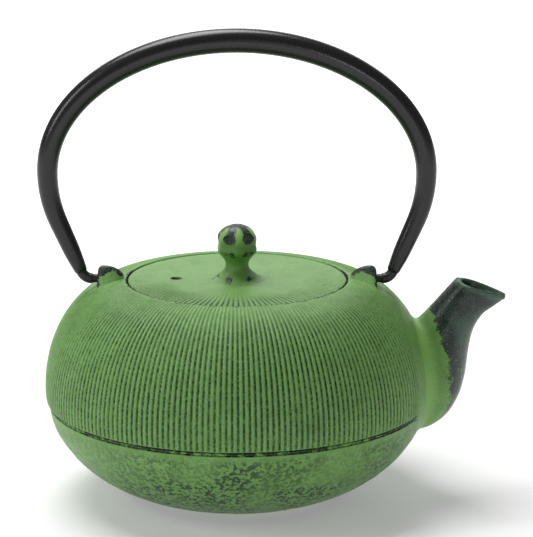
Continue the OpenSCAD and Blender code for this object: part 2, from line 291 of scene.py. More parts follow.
# %% [markdown]
# Materials are small node trees. These helpers add a node, set what is fixed on its own
# sockets and link what varies, so that each material reads like a list of its effects.
# %% Node helpers
def add(tree, kind, links=None, values=None, **settings):
    node = tree.nodes.new(kind)
    for key, value in settings.items():
        setattr(node, key, value)
    for key, value in (values or {}).items():
        node.inputs[key].default_value = value
    for key, source in (links or {}).items():
        tree.links.new(source, node.inputs[key])
    return node


def new_material(name):
    mat = bpy.data.materials.new(name)
    mat.use_nodes = True
    tree = mat.node_tree
    return mat, tree, tree.nodes["Principled BSDF"]


def place_of(tree):
    return add(tree, "ShaderNodeTexCoord").outputs["Object"]


def speckle(tree, place, size_mm, detail=2.0, rough=0.5, stretch=(1, 1, 1)):
    """Soft noise with features of about this size in millimetres."""
    moved = add(tree, "ShaderNodeMapping", {"Vector": place}, {"Scale": stretch}).outputs[0]
    return add(tree, "ShaderNodeTexNoise", {"Vector": moved},
               {"Scale": 1 / (size_mm * MM), "Detail": detail, "Roughness": rough}).outputs["Fac"]


def math_of(tree, operation, a, b=0.5, clamp=False):
    node = add(tree, "ShaderNodeMath", operation=operation, use_clamp=clamp)
    for i, value in enumerate((a, b)):
        if isinstance(value, (int, float)):
            node.inputs[i].default_value = value
        else:
            tree.links.new(value, node.inputs[i])
    return node.outputs[0]


def between(tree, value, lo, hi, out_lo=0.0, out_hi=1.0):
    """Soft step of a value between lo and hi."""
    node = add(tree, "ShaderNodeMapRange", {"Value": value},
               {"From Min": lo, "From Max": hi, "To Min": out_lo, "To Max": out_hi},
               interpolation_type="SMOOTHSTEP")
    return node.outputs["Result"]


def blend(tree, share, a, b):
    """Mix of two colours. Each is a colour or a socket."""
    node = add(tree, "ShaderNodeMix", {"Factor": share}, data_type="RGBA")
    for i, value in ((6, a), (7, b)):
        if isinstance(value, tuple):
            node.inputs[i].default_value = (*value, 1)
        else:
            tree.links.new(value, node.inputs[i])
    return node.outputs[2]


def painted(tree, name):
    return add(tree, "ShaderNodeAttribute", attribute_name=name).outputs["Fac"]


def new_tree(name, sockets):
    """A Geometry Nodes tree with these named inputs, and the sockets that give them."""
    tree = bpy.data.node_groups.new(name, "GeometryNodeTree")
    face = tree.interface
    face.new_socket("Geometry", in_out="OUTPUT", socket_type="NodeSocketGeometry")
    face.new_socket("Geometry", in_out="INPUT", socket_type="NodeSocketGeometry")
    for socket, kind in sockets:
        face.new_socket(socket, in_out="INPUT", socket_type="NodeSocket" + kind)
    return tree, add(tree, "NodeGroupInput").outputs


# %% [markdown]
# The iron's finish is a green stain wiped over black enamel. Green stays on the crests of the
# ribs, black stays in the grooves, in the hammered pits and wherever the green was rubbed off,
# on the spout and the lugs. The pattern follows the same rib count as the casting, so colour
# and relief agree. Masks stored on the mesh say where each effect belongs. Some of them are
# painted light and shade: a painted sheen along the spout's rim, pale painted glints on the bare
# enamel, painted shade in the gap round the lid, and a painted highlight on the knob's upper
# ridges with painted shade below them.
# %% Iron finish
GREEN = (0.170, 0.372, 0.090)
# the deeper green is mottling, and on the knob painted shade; the paler green is, on the knob, a painted
# highlight
GREEN_DEEP_AND_SHADE = (0.088, 0.225, 0.034)
GREEN_PALE_AND_HIGHLIGHT = (0.205, 0.435, 0.085)
ENAMEL = (0.004, 0.017, 0.009)
# the haze colour makes green specks on the enamel and also a painted sheen on the spout
ENAMEL_HAZE_AND_SHEEN = (0.040, 0.100, 0.058)
# pale specks: painted glints of light on the bare enamel
PAINTED_GLINT = (0.250, 0.340, 0.270)
GROOVE_DARK = (0.009, 0.040, 0.018)
FINE_MM, CRUMB_MM, PATCH_MM, PIT_MM = 0.55, 0.95, 7.0, 1.5
TEAR_MM, BIG_TEAR_MM, FLECK_MM, GLINT_MM, SMEAR_MM = 0.6, 2.6, 0.45, 0.42, 3.5


def stained_iron(name, rib_count, groove_low, groove_high):
    """Green over black enamel. groove_low and groove_high set how wide the dark lines are."""
    mat, tree, bsdf = new_material(name)
    place = place_of(tree)
    xyz = add(tree, "ShaderNodeSeparateXYZ", {"Vector": place}).outputs
    angle = math_of(tree, "ARCTAN2", xyz["Y"], xyz["X"])
    wave = math_of(tree, "COSINE", math_of(tree, "MULTIPLY", angle, float(rib_count)))
    fine = speckle(tree, place, FINE_MM, 3.0, 0.6)
    crumbs = speckle(tree, place, CRUMB_MM, 3.0, 0.6)
    patches = speckle(tree, place, PATCH_MM, 4.0, 0.6)
    ribbed, ink = painted(tree, "ribbed"), painted(tree, "ink")
    bare_and_gap_shade, pitted = painted(tree, "bare_and_gap_shade"), painted(tree, "pitted")
    # how dark a groove is: its shape, broken up by crumbs of green, more where the ink is thin
    ragged = math_of(tree, "ADD", wave, math_of(
        tree, "MULTIPLY", math_of(tree, "SUBTRACT", fine, 0.5), 1.5))
    line = between(tree, ragged, -groove_low, -groove_high)
    crumb_lift = math_of(tree, "MULTIPLY", math_of(tree, "SUBTRACT", crumbs, 0.5), 3.2)
    amount = math_of(tree, "ADD", ink, crumb_lift, clamp=True)
    groove = math_of(tree, "MULTIPLY", math_of(tree, "MULTIPLY", line, amount), ribbed)
    pits = math_of(tree, "MULTIPLY", between(tree, speckle(tree, place, PIT_MM, 3.0, 0.6),
                                             0.47, 0.55), pitted)
    dark = math_of(tree, "MAXIMUM", groove, pits)
    green = blend(tree, between(tree, patches, 0.40, 0.75, 0.0, 0.55), GREEN, GREEN_DEEP_AND_SHADE)
    green = blend(tree, between(tree, fine, 0.46, 0.66, 0.0, 0.9), green, GREEN_DEEP_AND_SHADE)
    # deeper and paler green from the masks; on the knob they are painted shade and a painted highlight
    green = blend(tree, painted(tree, "deeper_green_and_shade"), green, GREEN_DEEP_AND_SHADE)
    green = blend(tree, painted(tree, "paler_green_and_highlight"), green, GREEN_PALE_AND_HIGHLIGHT)
    colour = blend(tree, math_of(tree, "MULTIPLY", dark, 0.96), green, GROOVE_DARK)
    # bare enamel and painted gap shade, with a ragged, speckled edge against the green
    torn = math_of(tree, "ADD", speckle(tree, place, TEAR_MM, 3.0, 0.7),
                   speckle(tree, place, BIG_TEAR_MM, 2.0, 0.6))
    edge = math_of(tree, "ADD", bare_and_gap_shade, math_of(
        tree, "MULTIPLY", math_of(tree, "SUBTRACT", torn, 1.0), 1.35))
    rubbed_and_gap_shade = between(tree, edge, 0.46, 0.56)
    flecks = between(tree, speckle(tree, place, FLECK_MM, 3.0, 0.7), 0.50, 0.66)
    smears = between(tree, speckle(tree, place, SMEAR_MM, 3.0, 0.6), 0.40, 0.70, 0.15, 0.75)
    enamel_haze_sheen_and_glints = blend(tree, math_of(tree, "MULTIPLY", flecks, smears), ENAMEL, ENAMEL_HAZE_AND_SHEEN)
    # misted enamel, partly a painted sheen of grazing light on the spout and its rim
    enamel_haze_sheen_and_glints = blend(tree, math_of(tree, "MULTIPLY", painted(tree, "mist_and_sheen"), 0.8), enamel_haze_sheen_and_glints, ENAMEL_HAZE_AND_SHEEN)
    # pale specks on the bare enamel are painted glints of light
    glint_noise = speckle(tree, place, GLINT_MM, 2.0, 0.6)
    painted_glints = math_of(tree, "MULTIPLY", between(tree, glint_noise, 0.58, 0.68), smears)
    enamel_haze_sheen_and_glints = blend(tree, painted_glints, enamel_haze_sheen_and_glints, PAINTED_GLINT)
    tree.links.new(blend(tree, rubbed_and_gap_shade, colour, enamel_haze_sheen_and_glints), bsdf.inputs["Base Color"])
    rough = math_of(tree, "ADD", 0.30, math_of(tree, "MULTIPLY", fine, 0.24))
    rough = math_of(tree, "SUBTRACT", rough, math_of(tree, "MULTIPLY", rubbed_and_gap_shade, 0.21))
    rough = math_of(tree, "SUBTRACT", rough, math_of(tree, "MULTIPLY", dark, 0.16))
    tree.links.new(rough, bsdf.inputs["Roughness"])
    height = math_of(tree, "SUBTRACT", math_of(tree, "MULTIPLY", fine, 0.5),
                     math_of(tree, "MULTIPLY", dark, 0.8))
    height = math_of(tree, "ADD", height, math_of(tree, "MULTIPLY", flecks, 0.35))
    bump = add(tree, "ShaderNodeBump", {"Height": height}, {"Strength": 1.0, "Distance": 0.20 * MM})
    bsdf.inputs["Specular IOR Level"].default_value = 0.45
    tree.links.new(bump.outputs[0], bsdf.inputs["Normal"])
    return mat


RIBS = 216
LID_RIBS = 124
pot_iron = stained_iron("pot_green_iron", RIBS, 0.0, 0.70)
lid_iron = stained_iron("lid_green_iron", LID_RIBS, 0.15, 0.85)
knob_iron = stained_iron("knob_green_iron", 6, 2.0, 3.0)
print("iron finishes:", pot_iron.name, lid_iron.name, knob_iron.name)


# %% [markdown]
# The other finishes are plainer: matt black enamel inside the pot, satin black lacquer on the
# handle, and stainless steel for the infuser and the washer.
# %% Enamel, lacquer and steel
def simple_finish(name, colour, second, size_mm, rough, rough_var, bump_mm, metal=0.0,
                  stretch=(1, 1, 1)):
    mat, tree, bsdf = new_material(name)
    place = place_of(tree)
    grain = speckle(tree, place, size_mm, 3.0, 0.6, stretch)
    tree.links.new(blend(tree, grain, colour, second), bsdf.inputs["Base Color"])
    tree.links.new(math_of(tree, "ADD", rough, math_of(tree, "MULTIPLY", grain, rough_var)),
                   bsdf.inputs["Roughness"])
    bsdf.inputs["Metallic"].default_value = metal
    bsdf.inputs["Specular IOR Level"].default_value = 0.5 if metal else 0.42
    bump = add(tree, "ShaderNodeBump", {"Height": grain}, {"Strength": 0.5, "Distance": bump_mm * MM})
    tree.links.new(bump.outputs[0], bsdf.inputs["Normal"])
    return mat


enamel_black = simple_finish("black_enamel", (0.010, 0.011, 0.011), (0.022, 0.024, 0.023),
                             0.9, 0.42, 0.15, 0.08)
lacquer_black = simple_finish("black_lacquer", (0.006, 0.006, 0.0065), (0.011, 0.011, 0.012),
                              0.6, 0.22, 0.10, 0.02)
wire_black = simple_finish("black_wire", (0.006, 0.006, 0.0065), (0.014, 0.014, 0.015),
                           0.5, 0.32, 0.14, 0.03)
stainless = simple_finish("stainless_sheet", (0.55, 0.56, 0.57), (0.68, 0.69, 0.70),
                          0.35, 0.24, 0.14, 0.006, 1.0, (1, 1, 0.15))
wire_steel = simple_finish("stainless_wire", (0.48, 0.49, 0.50), (0.62, 0.63, 0.64),
                           0.4, 0.28, 0.14, 0.006, 1.0)

# %% [markdown]
# The casting. Ribs run from the mouth to a waist line, and below it the iron is hammered. The
# smooth body is turned first, as rings from the centre of the foot up the outside, over the
# mouth and down the inside. Six points for each rib are spent only where ribs are. The waist
# is a dark crease, a thin bead and a second crease, and it dies out beside the spout.
# %% Turned body
FINE, MID, COARSE = RIBS * 6, RIBS * 2, RIBS


def spout_side(angle):
    """0 in front of the spout's root, 1 well away from it round the pot."""
    y = np.abs(np.sin(angle)) * POT_R
    away = smooth(23, 32, y)
    return np.where(np.cos(angle) > 0, away, 1.0)


def step_back(z):
    return WAIST_STEP * np.clip(1 - (WAIST_LOW - z) / WAIST_FADE, 0, 1) ** 2


def body_ring(r, z, n, back=0.0):
    t = 2 * np.pi * np.arange(n) / n
    return turn(r - back * spout_side(t), z, n)


rings = [turn(0, 0.6, 1)]
rings += [turn(r, z, COARSE) for r, z in ((8, 0.6), (15, 0.6), (20.5, 0.55), (22, 0.25), (22.8, 0.0),
                                          (24.5, 0.0), (FOOT_R - 0.5, 0.0), (FOOT_R, 0.12))]
LOW_ROWS, UP_ROWS = 58, 27
a0 = math.asin((BELLY_Z - 1.0) / BELLY_Z)
a1 = math.asin((BELLY_Z - WAIST_LOW) / BELLY_Z)
for i in range(LOW_ROWS + 1):
    z = BELLY_Z - BELLY_Z * math.sin(a0 + (a1 - a0) * i / LOW_ROWS)
    rings.append(body_ring(float(side_r(z)), z, MID, float(step_back(z))))
# waist: second crease, bead, first crease under the ribbed edge
for z, back in ((36.12, 1.0), (36.35, 1.25), (36.6, 0.95), (36.95, 0.62), (37.25, 0.72),
                (37.5, 1.15), (37.68, 1.45), (37.88, 1.2)):
    rings.append(body_ring(float(side_r(z)), z, MID, back))
rings.append(body_ring(float(side_r(37.98)), 37.98, FINE, 0.35))
for z, back in ((38.15, 0.1), (38.5, 0.0), (39.6, 0.0), (41.2, 0.0)):
    rings.append(body_ring(float(side_r(z)), z, FINE, back))
for i in range(UP_ROWS):
    a = math.radians(90) * i / UP_ROWS
    rings.append(turn(MOUTH_R + (POT_R - MOUTH_R) * math.cos(a),
                      BELLY_Z + (POT_H - BELLY_Z) * math.sin(a), FINE))
rings.append(turn(MOUTH_R + 0.55, POT_H, FINE))
rings.append(turn(MOUTH_R + 0.15, POT_H - 0.12, MID))
rings.append(turn(MOUTH_R, POT_H - 0.5, COARSE))
roof_z = LEDGE_Z - LEDGE_T
rings += [turn(r, z, COARSE) for r, z in (
    (MOUTH_R, POT_H - 1.6), (MOUTH_R, LEDGE_Z + 0.25), (MOUTH_R - 0.25, LEDGE_Z),
    (LEDGE_R + 0.3, LEDGE_Z), (LEDGE_R, LEDGE_Z - 0.3), (LEDGE_R, roof_z + 0.3),
    (LEDGE_R + 0.4, roof_z))]
roof_a = math.asin((roof_z - BELLY_Z) / (POT_H - BELLY_Z - WALL))
IN_ROWS = 20
for i in range(IN_ROWS, -1, -1):
    a = roof_a * i / IN_ROWS
    rings.append(turn(MOUTH_R + (POT_R - MOUTH_R - WALL) * math.cos(a),
                      BELLY_Z + (POT_H - BELLY_Z - WALL) * math.sin(a), COARSE))
for i in range(1, IN_ROWS + 1):
    a = math.radians(90) * i / IN_ROWS
    rings.append(turn(KEEL_R + (POT_R - KEEL_R - WALL) * math.cos(a),
                      BELLY_Z - (BELLY_Z - WALL) * math.sin(a), COARSE))
rings += [turn(9, WALL, COARSE), turn(0, WALL, 1)]
pot = loft("teapot_body", rings, sharp=0)
print("turned body:", len(pot.data.vertices), "points")

# %% [markdown]
# Where the relief goes. The ribs fade out round the spout's root and the lugs, where a caster
# smooths the mould, and the hammering is deepest low on the belly. These weights are worked
# out from each point's place, so they can be stored again after the pieces are joined.
# %% Relief weights
SPOUT_MID_Z = 47.0
LUG_X = 49.5


def relief_weights(p):
    x, y, z = p[:, 0], p[:, 1], p[:, 2]
    r = np.hypot(x, y)
    outside = r - side_r(z)
    on_skin = smooth(-2.2, -1.6, outside) * (1 - smooth(0.15, 0.5, outside))
    spout = np.where(x > 0, np.hypot(y / 27.0, (z - SPOUT_MID_Z) / 33.0), 9.0)
    spout = smooth(0.80, 1.12, spout)
    lug = smooth(0.75, 1.25, np.hypot((np.abs(x) - LUG_X) / 8.5, y / 11.0))
    above = smooth(WAIST_TOP + 0.1, WAIST_TOP + 0.5, z) * smooth(MOUTH_R + 0.3, MOUTH_R + 1.2, r)
    ribbed = above * spout * lug * on_skin * (0.6 + 0.4 * smooth(44, 60, r))
    low = (1 - smooth(WAIST_LOW - 3.5, WAIST_LOW - 0.3, z)) * smooth(0.4, 3.0, z) * on_skin
    spout_low = np.where(x > 0, np.hypot(y / 24.0, (z - SPOUT_MID_Z) / 30.0), 9.0)
    hammered = low * smooth(0.85, 1.2, spout_low)
    return ribbed, hammered


ribbed, hammered = relief_weights(points_of(pot))
paint(pot, "ribbed", ribbed)
paint(pot, "hammered", hammered)
print(f"ribbed points {int((ribbed > .5).sum())}, hammered {int((hammered > .5).sum())}")


# %% [markdown]
# Ribs and hammering as Geometry Nodes. Both follow a rule: a groove every so many degrees, and
# pits of one size spread by a noise. The tree pushes the surface inwards by those rules, so the
# crests stay on the true size. Its inputs are named, and the lid uses the same tree.
# %% Relief tree
def relief_tree():
    tree, given = new_tree("ribs_and_hammering", (
        ("Rib Count", "Float"), ("Groove Depth", "Float"), ("Groove Width", "Float"),
        ("Hammer Depth", "Float"), ("Hammer Size", "Float"), ("Seed", "Float"), ("Finish", "Material")))
    where = add(tree, "GeometryNodeInputPosition").outputs[0]
    xyz = add(tree, "ShaderNodeSeparateXYZ", {"Vector": where}).outputs
    angle = math_of(tree, "ARCTAN2", xyz["Y"], xyz["X"])
    wave = math_of(tree, "COSINE", math_of(tree, "MULTIPLY", angle, given["Rib Count"]))
    start = math_of(tree, "COSINE", math_of(tree, "MULTIPLY", given["Groove Width"], math.pi))
    falling = math_of(tree, "SUBTRACT", math_of(tree, "MULTIPLY", wave, -1.0), start)
    groove = math_of(tree, "DIVIDE", falling, math_of(tree, "SUBTRACT", 1.0, start), clamp=True)
    ribbed = add(tree, "GeometryNodeInputNamedAttribute", values={"Name": "ribbed"}).outputs[0]
    hammered = add(tree, "GeometryNodeInputNamedAttribute", values={"Name": "hammered"}).outputs[0]
    rib_cut = math_of(tree, "MULTIPLY", math_of(tree, "MULTIPLY", groove, ribbed), given["Groove Depth"])
    clouds = add(tree, "ShaderNodeTexNoise",
                 {"Vector": where, "W": given["Seed"],
                  "Scale": math_of(tree, "DIVIDE", 1.0, given["Hammer Size"])},
                 {"Detail": 2.0}, noise_dimensions="4D").outputs[0]
    pit = add(tree, "ShaderNodeMapRange", {"Value": clouds}, {"From Min": 0.42, "From Max": 0.68},
              interpolation_type="SMOOTHSTEP").outputs[0]
    pit_cut = math_of(tree, "MULTIPLY", math_of(tree, "MULTIPLY", pit, hammered), given["Hammer Depth"])
    inward = add(tree, "ShaderNodeVectorMath", {0: add(tree, "GeometryNodeInputNormal").outputs[0],
                 "Scale": math_of(tree, "MULTIPLY", math_of(tree, "ADD", rib_cut, pit_cut), -1.0)},
                 operation="SCALE").outputs[0]
    moved = add(tree, "GeometryNodeSetPosition", {"Geometry": given["Geometry"], "Offset": inward})
    real = add(tree, "GeometryNodeRealizeInstances", {"Geometry": moved.outputs[0]})
    done = add(tree, "GeometryNodeSetMaterial",
               {"Geometry": real.outputs[0], "Material": given["Finish"]})
    add(tree, "NodeGroupOutput", {"Geometry": done.outputs[0]})
    return tree


def run_tree(obj, tree, **inputs):
    """Runs a tree on a piece and keeps the result as its plain mesh."""
    mod = obj.modifiers.new(tree.name, "NODES")
    mod.node_group = tree
    sockets = {s.name: s.identifier for s in tree.interface.items_tree if s.in_out == "INPUT"}
    for name, value in inputs.items():
        mod[sockets[name.replace("_", " ")]] = value
    return to_plain(obj)


relief = relief_tree()
run_tree(pot, relief, Rib_Count=float(RIBS), Groove_Depth=0.42 * MM, Groove_Width=0.62,
         Hammer_Depth=0.30 * MM, Hammer_Size=2.6 * MM, Seed=4.0, Finish=pot_iron)
print("relief cut into", len(pot.data.vertices), "points")

# %% [markdown]
# The spout leaves the side as a broad root, narrows and ends in a slanted teardrop lip. It is
# lofted from ten cross-sections, each with a rear point, a front point and a width. A true
# caster's fillet joins it to the side: each lengthwise line ends in a curve that runs out flat
# on the body. The rim is rounded, and the channel runs down through the wall.
# %% Spout sections
SPOUT_REACH = 28.8
SPOUT_HALF_W = 17.0
SPOUT_WALL, LIP_WALL = 2.4, 1.7
LIP_RISE = 1.5
SPOUT_ROWS = np.array([
    [-0.47, 0.69, -0.47, 0.300, 1.00, 0], [-0.26, 0.77, -0.09, 0.298, 0.94, 0],
    [-0.14, 0.815, 0.20, 0.352, 0.84, 0], [-0.05, 0.848, 0.385, 0.446, 0.72, 0],
    [0.03, 0.879, 0.475, 0.552, 0.61, 0.05], [0.11, 0.910, 0.515, 0.665, 0.52, 0.1],
    [0.185, 0.940, 0.575, 0.762, 0.46, 0.15], [0.255, 0.967, 0.695, 0.832, 0.415, 0.25],
    [0.31, 0.988, 0.84, 0.870, 0.395, 0.35], [0.345, 0.998, 0.993, 0.908, 0.395, 0.45]])
LAST_ROW = len(SPOUT_ROWS) - 1


def spout_at(s, q, skin=0.0, past=0.0):
    """Points of the spout: s runs from root 0 to lip 9, q round it in radians, 0 at the rear."""
    s, q, skin, past = np.broadcast_arrays(*(np.asarray(v, float) for v in (s, q, skin, past)))
    i = np.minimum(np.floor(s).astype(int), LAST_ROW - 1)
    t = (s - i)[..., None]
    a, b, c, d = (SPOUT_ROWS[np.clip(i + k, 0, LAST_ROW)] for k in (-1, 0, 1, 2))
    row = 0.5 * (2 * b + (c - a) * t + (2 * a - 5 * b + 4 * c - d) * t * t
                 + (3 * b - a - 3 * c + d) * t ** 3)
    rear = np.stack([POT_R + row[..., 0] * SPOUT_REACH, row[..., 1] * POT_H], -1)
    front = np.stack([POT_R + row[..., 2] * SPOUT_REACH, row[..., 3] * POT_H], -1)
    along = (front - rear) / np.linalg.norm(front - rear, axis=-1, keepdims=True)
    out = np.stack([-along[..., 1], along[..., 0]], -1)
    rear = rear + along * (skin * 1.4)[..., None] + out * past[..., None]
    front = front - along * (skin * 0.8)[..., None] + out * past[..., None]
    half = row[..., 4] * SPOUT_HALF_W - skin * 0.8
    mid = (rear + front) / 2 - (front - rear) / 2 * np.cos(q)[..., None]
    y = -half * np.sin(q) * (1 + row[..., 5] * np.cos(q))
    return np.stack([mid[..., 0], y, mid[..., 1]], -1)


def channel_skin(s):
    """The wall thins towards the lip, which makes the opening wide."""
    return np.interp(s, [LAST_ROW - 2.2, LAST_ROW], [SPOUT_WALL, LIP_WALL])


def off_body(p, skin=0.0):
    return np.hypot(p[..., 0], p[..., 1]) - side_r(p[..., 2], skin)


def body_normal(p):
    e = 0.05
    grad = np.stack([(off_body(p + np.eye(3)[k] * e) - off_body(p - np.eye(3)[k] * e)) / (2 * e)
                     for k in range(3)], -1)
    return grad / np.linalg.norm(grad, axis=-1, keepdims=True)


def drop_on_body(p, lift):
    """Moves points sideways onto the pot's side, raised by lift."""
    r = np.hypot(p[..., 0], p[..., 1])
    k = (side_r(p[..., 2]) + lift) / r
    return np.stack([p[..., 0] * k, p[..., 1] * k, p[..., 2]], -1)


# %% [markdown]
# The spout's skin starts below the pot's surface, leaves it on the fillet, climbs to the rim,
# turns over it and goes down the channel, all as rings of the same number of points. A second,
# thinner solid is the plug that will open the pot's wall.
# %% Spout mesh
SPOUT_SIDES = 96
q = 2 * np.pi * np.arange(SPOUT_SIDES) / SPOUT_SIDES
s_fine = np.linspace(0, LAST_ROW, 1801)
grid = spout_at(s_fine[:, None], q[None, :])
proud = off_body(grid)
last_in = np.array([np.nonzero(proud[:, k] < 0)[0].max() for k in range(SPOUT_SIDES)])
leave = grid[last_in, np.arange(SPOUT_SIDES)]
FILLET_STRETCH = 1.15
fillet = 2.6 + 3.4 * np.abs(np.sin(q)) ** 1.5
lengths = np.vstack([np.zeros(SPOUT_SIDES),
                     np.cumsum(np.linalg.norm(np.diff(grid, axis=0), axis=2), axis=0)])
tangent_at = lengths[last_in, np.arange(SPOUT_SIDES)] + fillet * FILLET_STRETCH
tangent_i = np.array([np.searchsorted(lengths[:, k], tangent_at[k]) for k in range(SPOUT_SIDES)])
s_leave, s_tan = s_fine[last_in], s_fine[tangent_i]
upper = grid[tangent_i, np.arange(SPOUT_SIDES)]
normal = body_normal(leave)
spread = leave - leave.mean(0)
spread -= (spread * normal).sum(1, keepdims=True) * normal
spread /= np.linalg.norm(spread, axis=1, keepdims=True)
foot = leave + spread * fillet[:, None] * FILLET_STRETCH
foot = drop_on_body(foot, -0.08)
spout_rings = [drop_on_body(foot, -1.7)]
for t in np.linspace(0, 1, 9):
    spout_rings.append((1 - t) ** 2 * foot + 2 * t * (1 - t) * leave + t * t * upper)
OUT_ROWS = 64
nose = (1 - np.cos(q)) / 2
rim_round = 0.7 + 1.3 * nose
s_rim = LAST_ROW - 0.25
for u in np.linspace(0, 1, OUT_ROWS)[1:]:
    spout_rings.append(spout_at(s_tan + (s_rim - s_tan) * u, q))
# the rim is half an ellipse from the outer skin over to the channel
RIM_STEPS = 10
for i in range(RIM_STEPS + 1):
    a = math.pi * i / RIM_STEPS
    spout_rings.append(spout_at(LAST_ROW, q, LIP_WALL * (1 - math.cos(a)) / 2,
                                LIP_RISE * nose - rim_round * (1 - math.sin(a))))
# the channel ends where it reaches the pot's inner wall
channel = spout_at(s_fine[:, None], q[None, :], channel_skin(s_fine)[:, None])
depth = off_body(channel, WALL)
s_in = np.array([s_fine[np.nonzero(depth[:, k] < 0)[0].max()] for k in range(SPOUT_SIDES)])
for u in np.linspace(0, 1, 46):
    s_row = s_rim + (s_in - s_rim) * u
    spout_rings.append(spout_at(s_row, q, channel_skin(s_row)))
spout = loft("spout", [r.tolist() for r in spout_rings], ring_solid=True, sharp=0)
# the plug that opens the pot's wall, halfway between the channel and the outer skin
plug_rings = [spout_at(s_in - 0.5 + (s_leave + 1.0 - s_in) * u, q, SPOUT_WALL * 0.45)
              for u in np.linspace(0, 1, 12)]
plug = loft("plug", [[plug_rings[0].mean(0).tolist()], *[r.tolist() for r in plug_rings],
                     [plug_rings[-1].mean(0).tolist()]], sharp=0)
print("spout leaves the side between heights",
      round(float(leave[:, 2].min()), 1), "and", round(float(leave[:, 2].max()), 1))

# %% [markdown]
# The lugs are two cast ears. Each rises from the shoulder to a rounded ridge, highest near
# its outer face, and is drilled for the handle's pin. The ear is a height above the shoulder over
# a leaf-shaped foot, closed below by the same leaf sunk into the iron.
# %% Lugs
LUG_OUT, LUG_IN = 53.0, 43.0
LUG_PEAK_X, LUG_PEAK_Z = 51.4, body_high.z
LUG_SINK = 1.8


def lug_mesh(side):
    nx, ny = 30, 41
    u = np.linspace(0, 1, nx)[:, None]
    v = np.linspace(-1, 1, ny)[None, :]
    x = LUG_IN + (LUG_OUT - LUG_IN) * u + 0 * v
    half = np.interp(x, [43, 45.5, 48.7, 51, 53], [0.9, 3.4, 5.9, 6.9, 7.2])
    y = half * v
    base = shoulder_z(np.hypot(x, y))
    crest_x = LUG_PEAK_X - 0.6
    up = np.clip((crest_x - x) / (crest_x - LUG_IN), 0, 1)
    foot_z = float(shoulder_z(LUG_IN)) - 0.1
    ridge = foot_z + (LUG_PEAK_Z - foot_z) * np.sqrt(1 - up ** 2 * 0.98)
    over = np.clip((x - crest_x) / (LUG_OUT - crest_x), 0, 1)
    ridge = ridge - 2.4 * (1 - np.sqrt(1 - over ** 2 * 0.98))
    soft = 0.24
    t = (np.sqrt(v ** 2 + soft ** 2) - soft) / (math.sqrt(1 + soft ** 2) - soft)
    rise = np.maximum(ridge - base, 0) * np.clip(1 - t, 0, 1) ** 1.2
    top = np.stack([x, y, base + rise - 0.03], -1)
    low = np.stack([x, y, base - LUG_SINK], -1)
    low[..., 0] -= 0.3 * over
    p = np.concatenate([top.reshape(-1, 3), low.reshape(-1, 3)])
    if side < 0:
        p[:, 0] *= -1
    at = lambda i, j, layer=0: layer * nx * ny + i * ny + j
    faces = []
    for i in range(nx - 1):
        for j in range(ny - 1):
            faces.append((at(i, j), at(i + 1, j), at(i + 1, j + 1), at(i, j + 1)))
            faces.append((at(i, j, 1), at(i, j + 1, 1), at(i + 1, j + 1, 1), at(i + 1, j, 1)))
    edge = [(i, 0) for i in range(nx)] + [(nx - 1, j) for j in range(1, ny)]
    edge += [(i, ny - 1) for i in range(nx - 2, -1, -1)] + [(0, j) for j in range(ny - 2, 0, -1)]
    for (i, j), (k, m) in zip(edge, edge[1:] + edge[:1]):
        faces.append((at(i, j), at(i, j, 1), at(k, m, 1), at(k, m)))
    return make_mesh("lug", p, faces, sharp=0)


PIN_D = 3.2
PIN_GAP = 0.08
PIN_TIP_X = 46.4


def bore_tool(side):
    n = 48
    t = 2 * np.pi * np.arange(n) / n
    r = PIN_D / 2 + PIN_GAP
    ring = lambda x, k=1.0: np.column_stack([np.full(n, side * x), k * r * np.cos(t),
                                             PIVOT_Z + k * r * np.sin(t)]).tolist()
    return loft("bore", [[(side * 46.0, 0, PIVOT_Z)], ring(46.1), ring(52.7), ring(53.4, 1.18),
                         ring(57), [(side * 57, 0, PIVOT_Z)]], sharp=0)


cut_or_join(pot, plug, "DIFFERENCE")
cut_or_join(pot, spout, "UNION")
for side in (1, -1):
    cut_or_join(pot, lug_mesh(side), "UNION")
    cut_or_join(pot, bore_tool(side), "DIFFERENCE")
print("casting joined:", triangles(pot), "triangles")

# %% [markdown]
# The masks for the finish. Each point gets seven numbers: how ribbed it is, how strongly its
# grooves are inked, how pitted it is, how bare of green, with painted shade in the gap under the
# lid, how misted the bare enamel is, with a painted sheen along the spout's rim, and where the
# green is darker or paler. Ink is strong on the front of the belly and thin near the mouth,
# beside the waist and round the spout.
# %% Finish masks
# where the dark enamel of the spout begins, as a height and how far out, and the plane of its lip
SPOUT_EDGE = np.array([[14, 61.0], [22, 69.0], [26, 74.0], [29.6, 77.2], [34, 79.8], [38, 81.2],
                       [44, 81.4], [50, 80.0], [60, 78.3], [68, 75.6], [76, 71.2], [90, 68.5]])
LIP_REAR_X, LIP_REAR_Z, LIP_SLOPE = 83.4, 84.0, -0.401


def noise_field(p, size, seed):
    return np.array([noise.noise(Vector((a / size + seed, b / size, c / size))) for a, b, c in p])


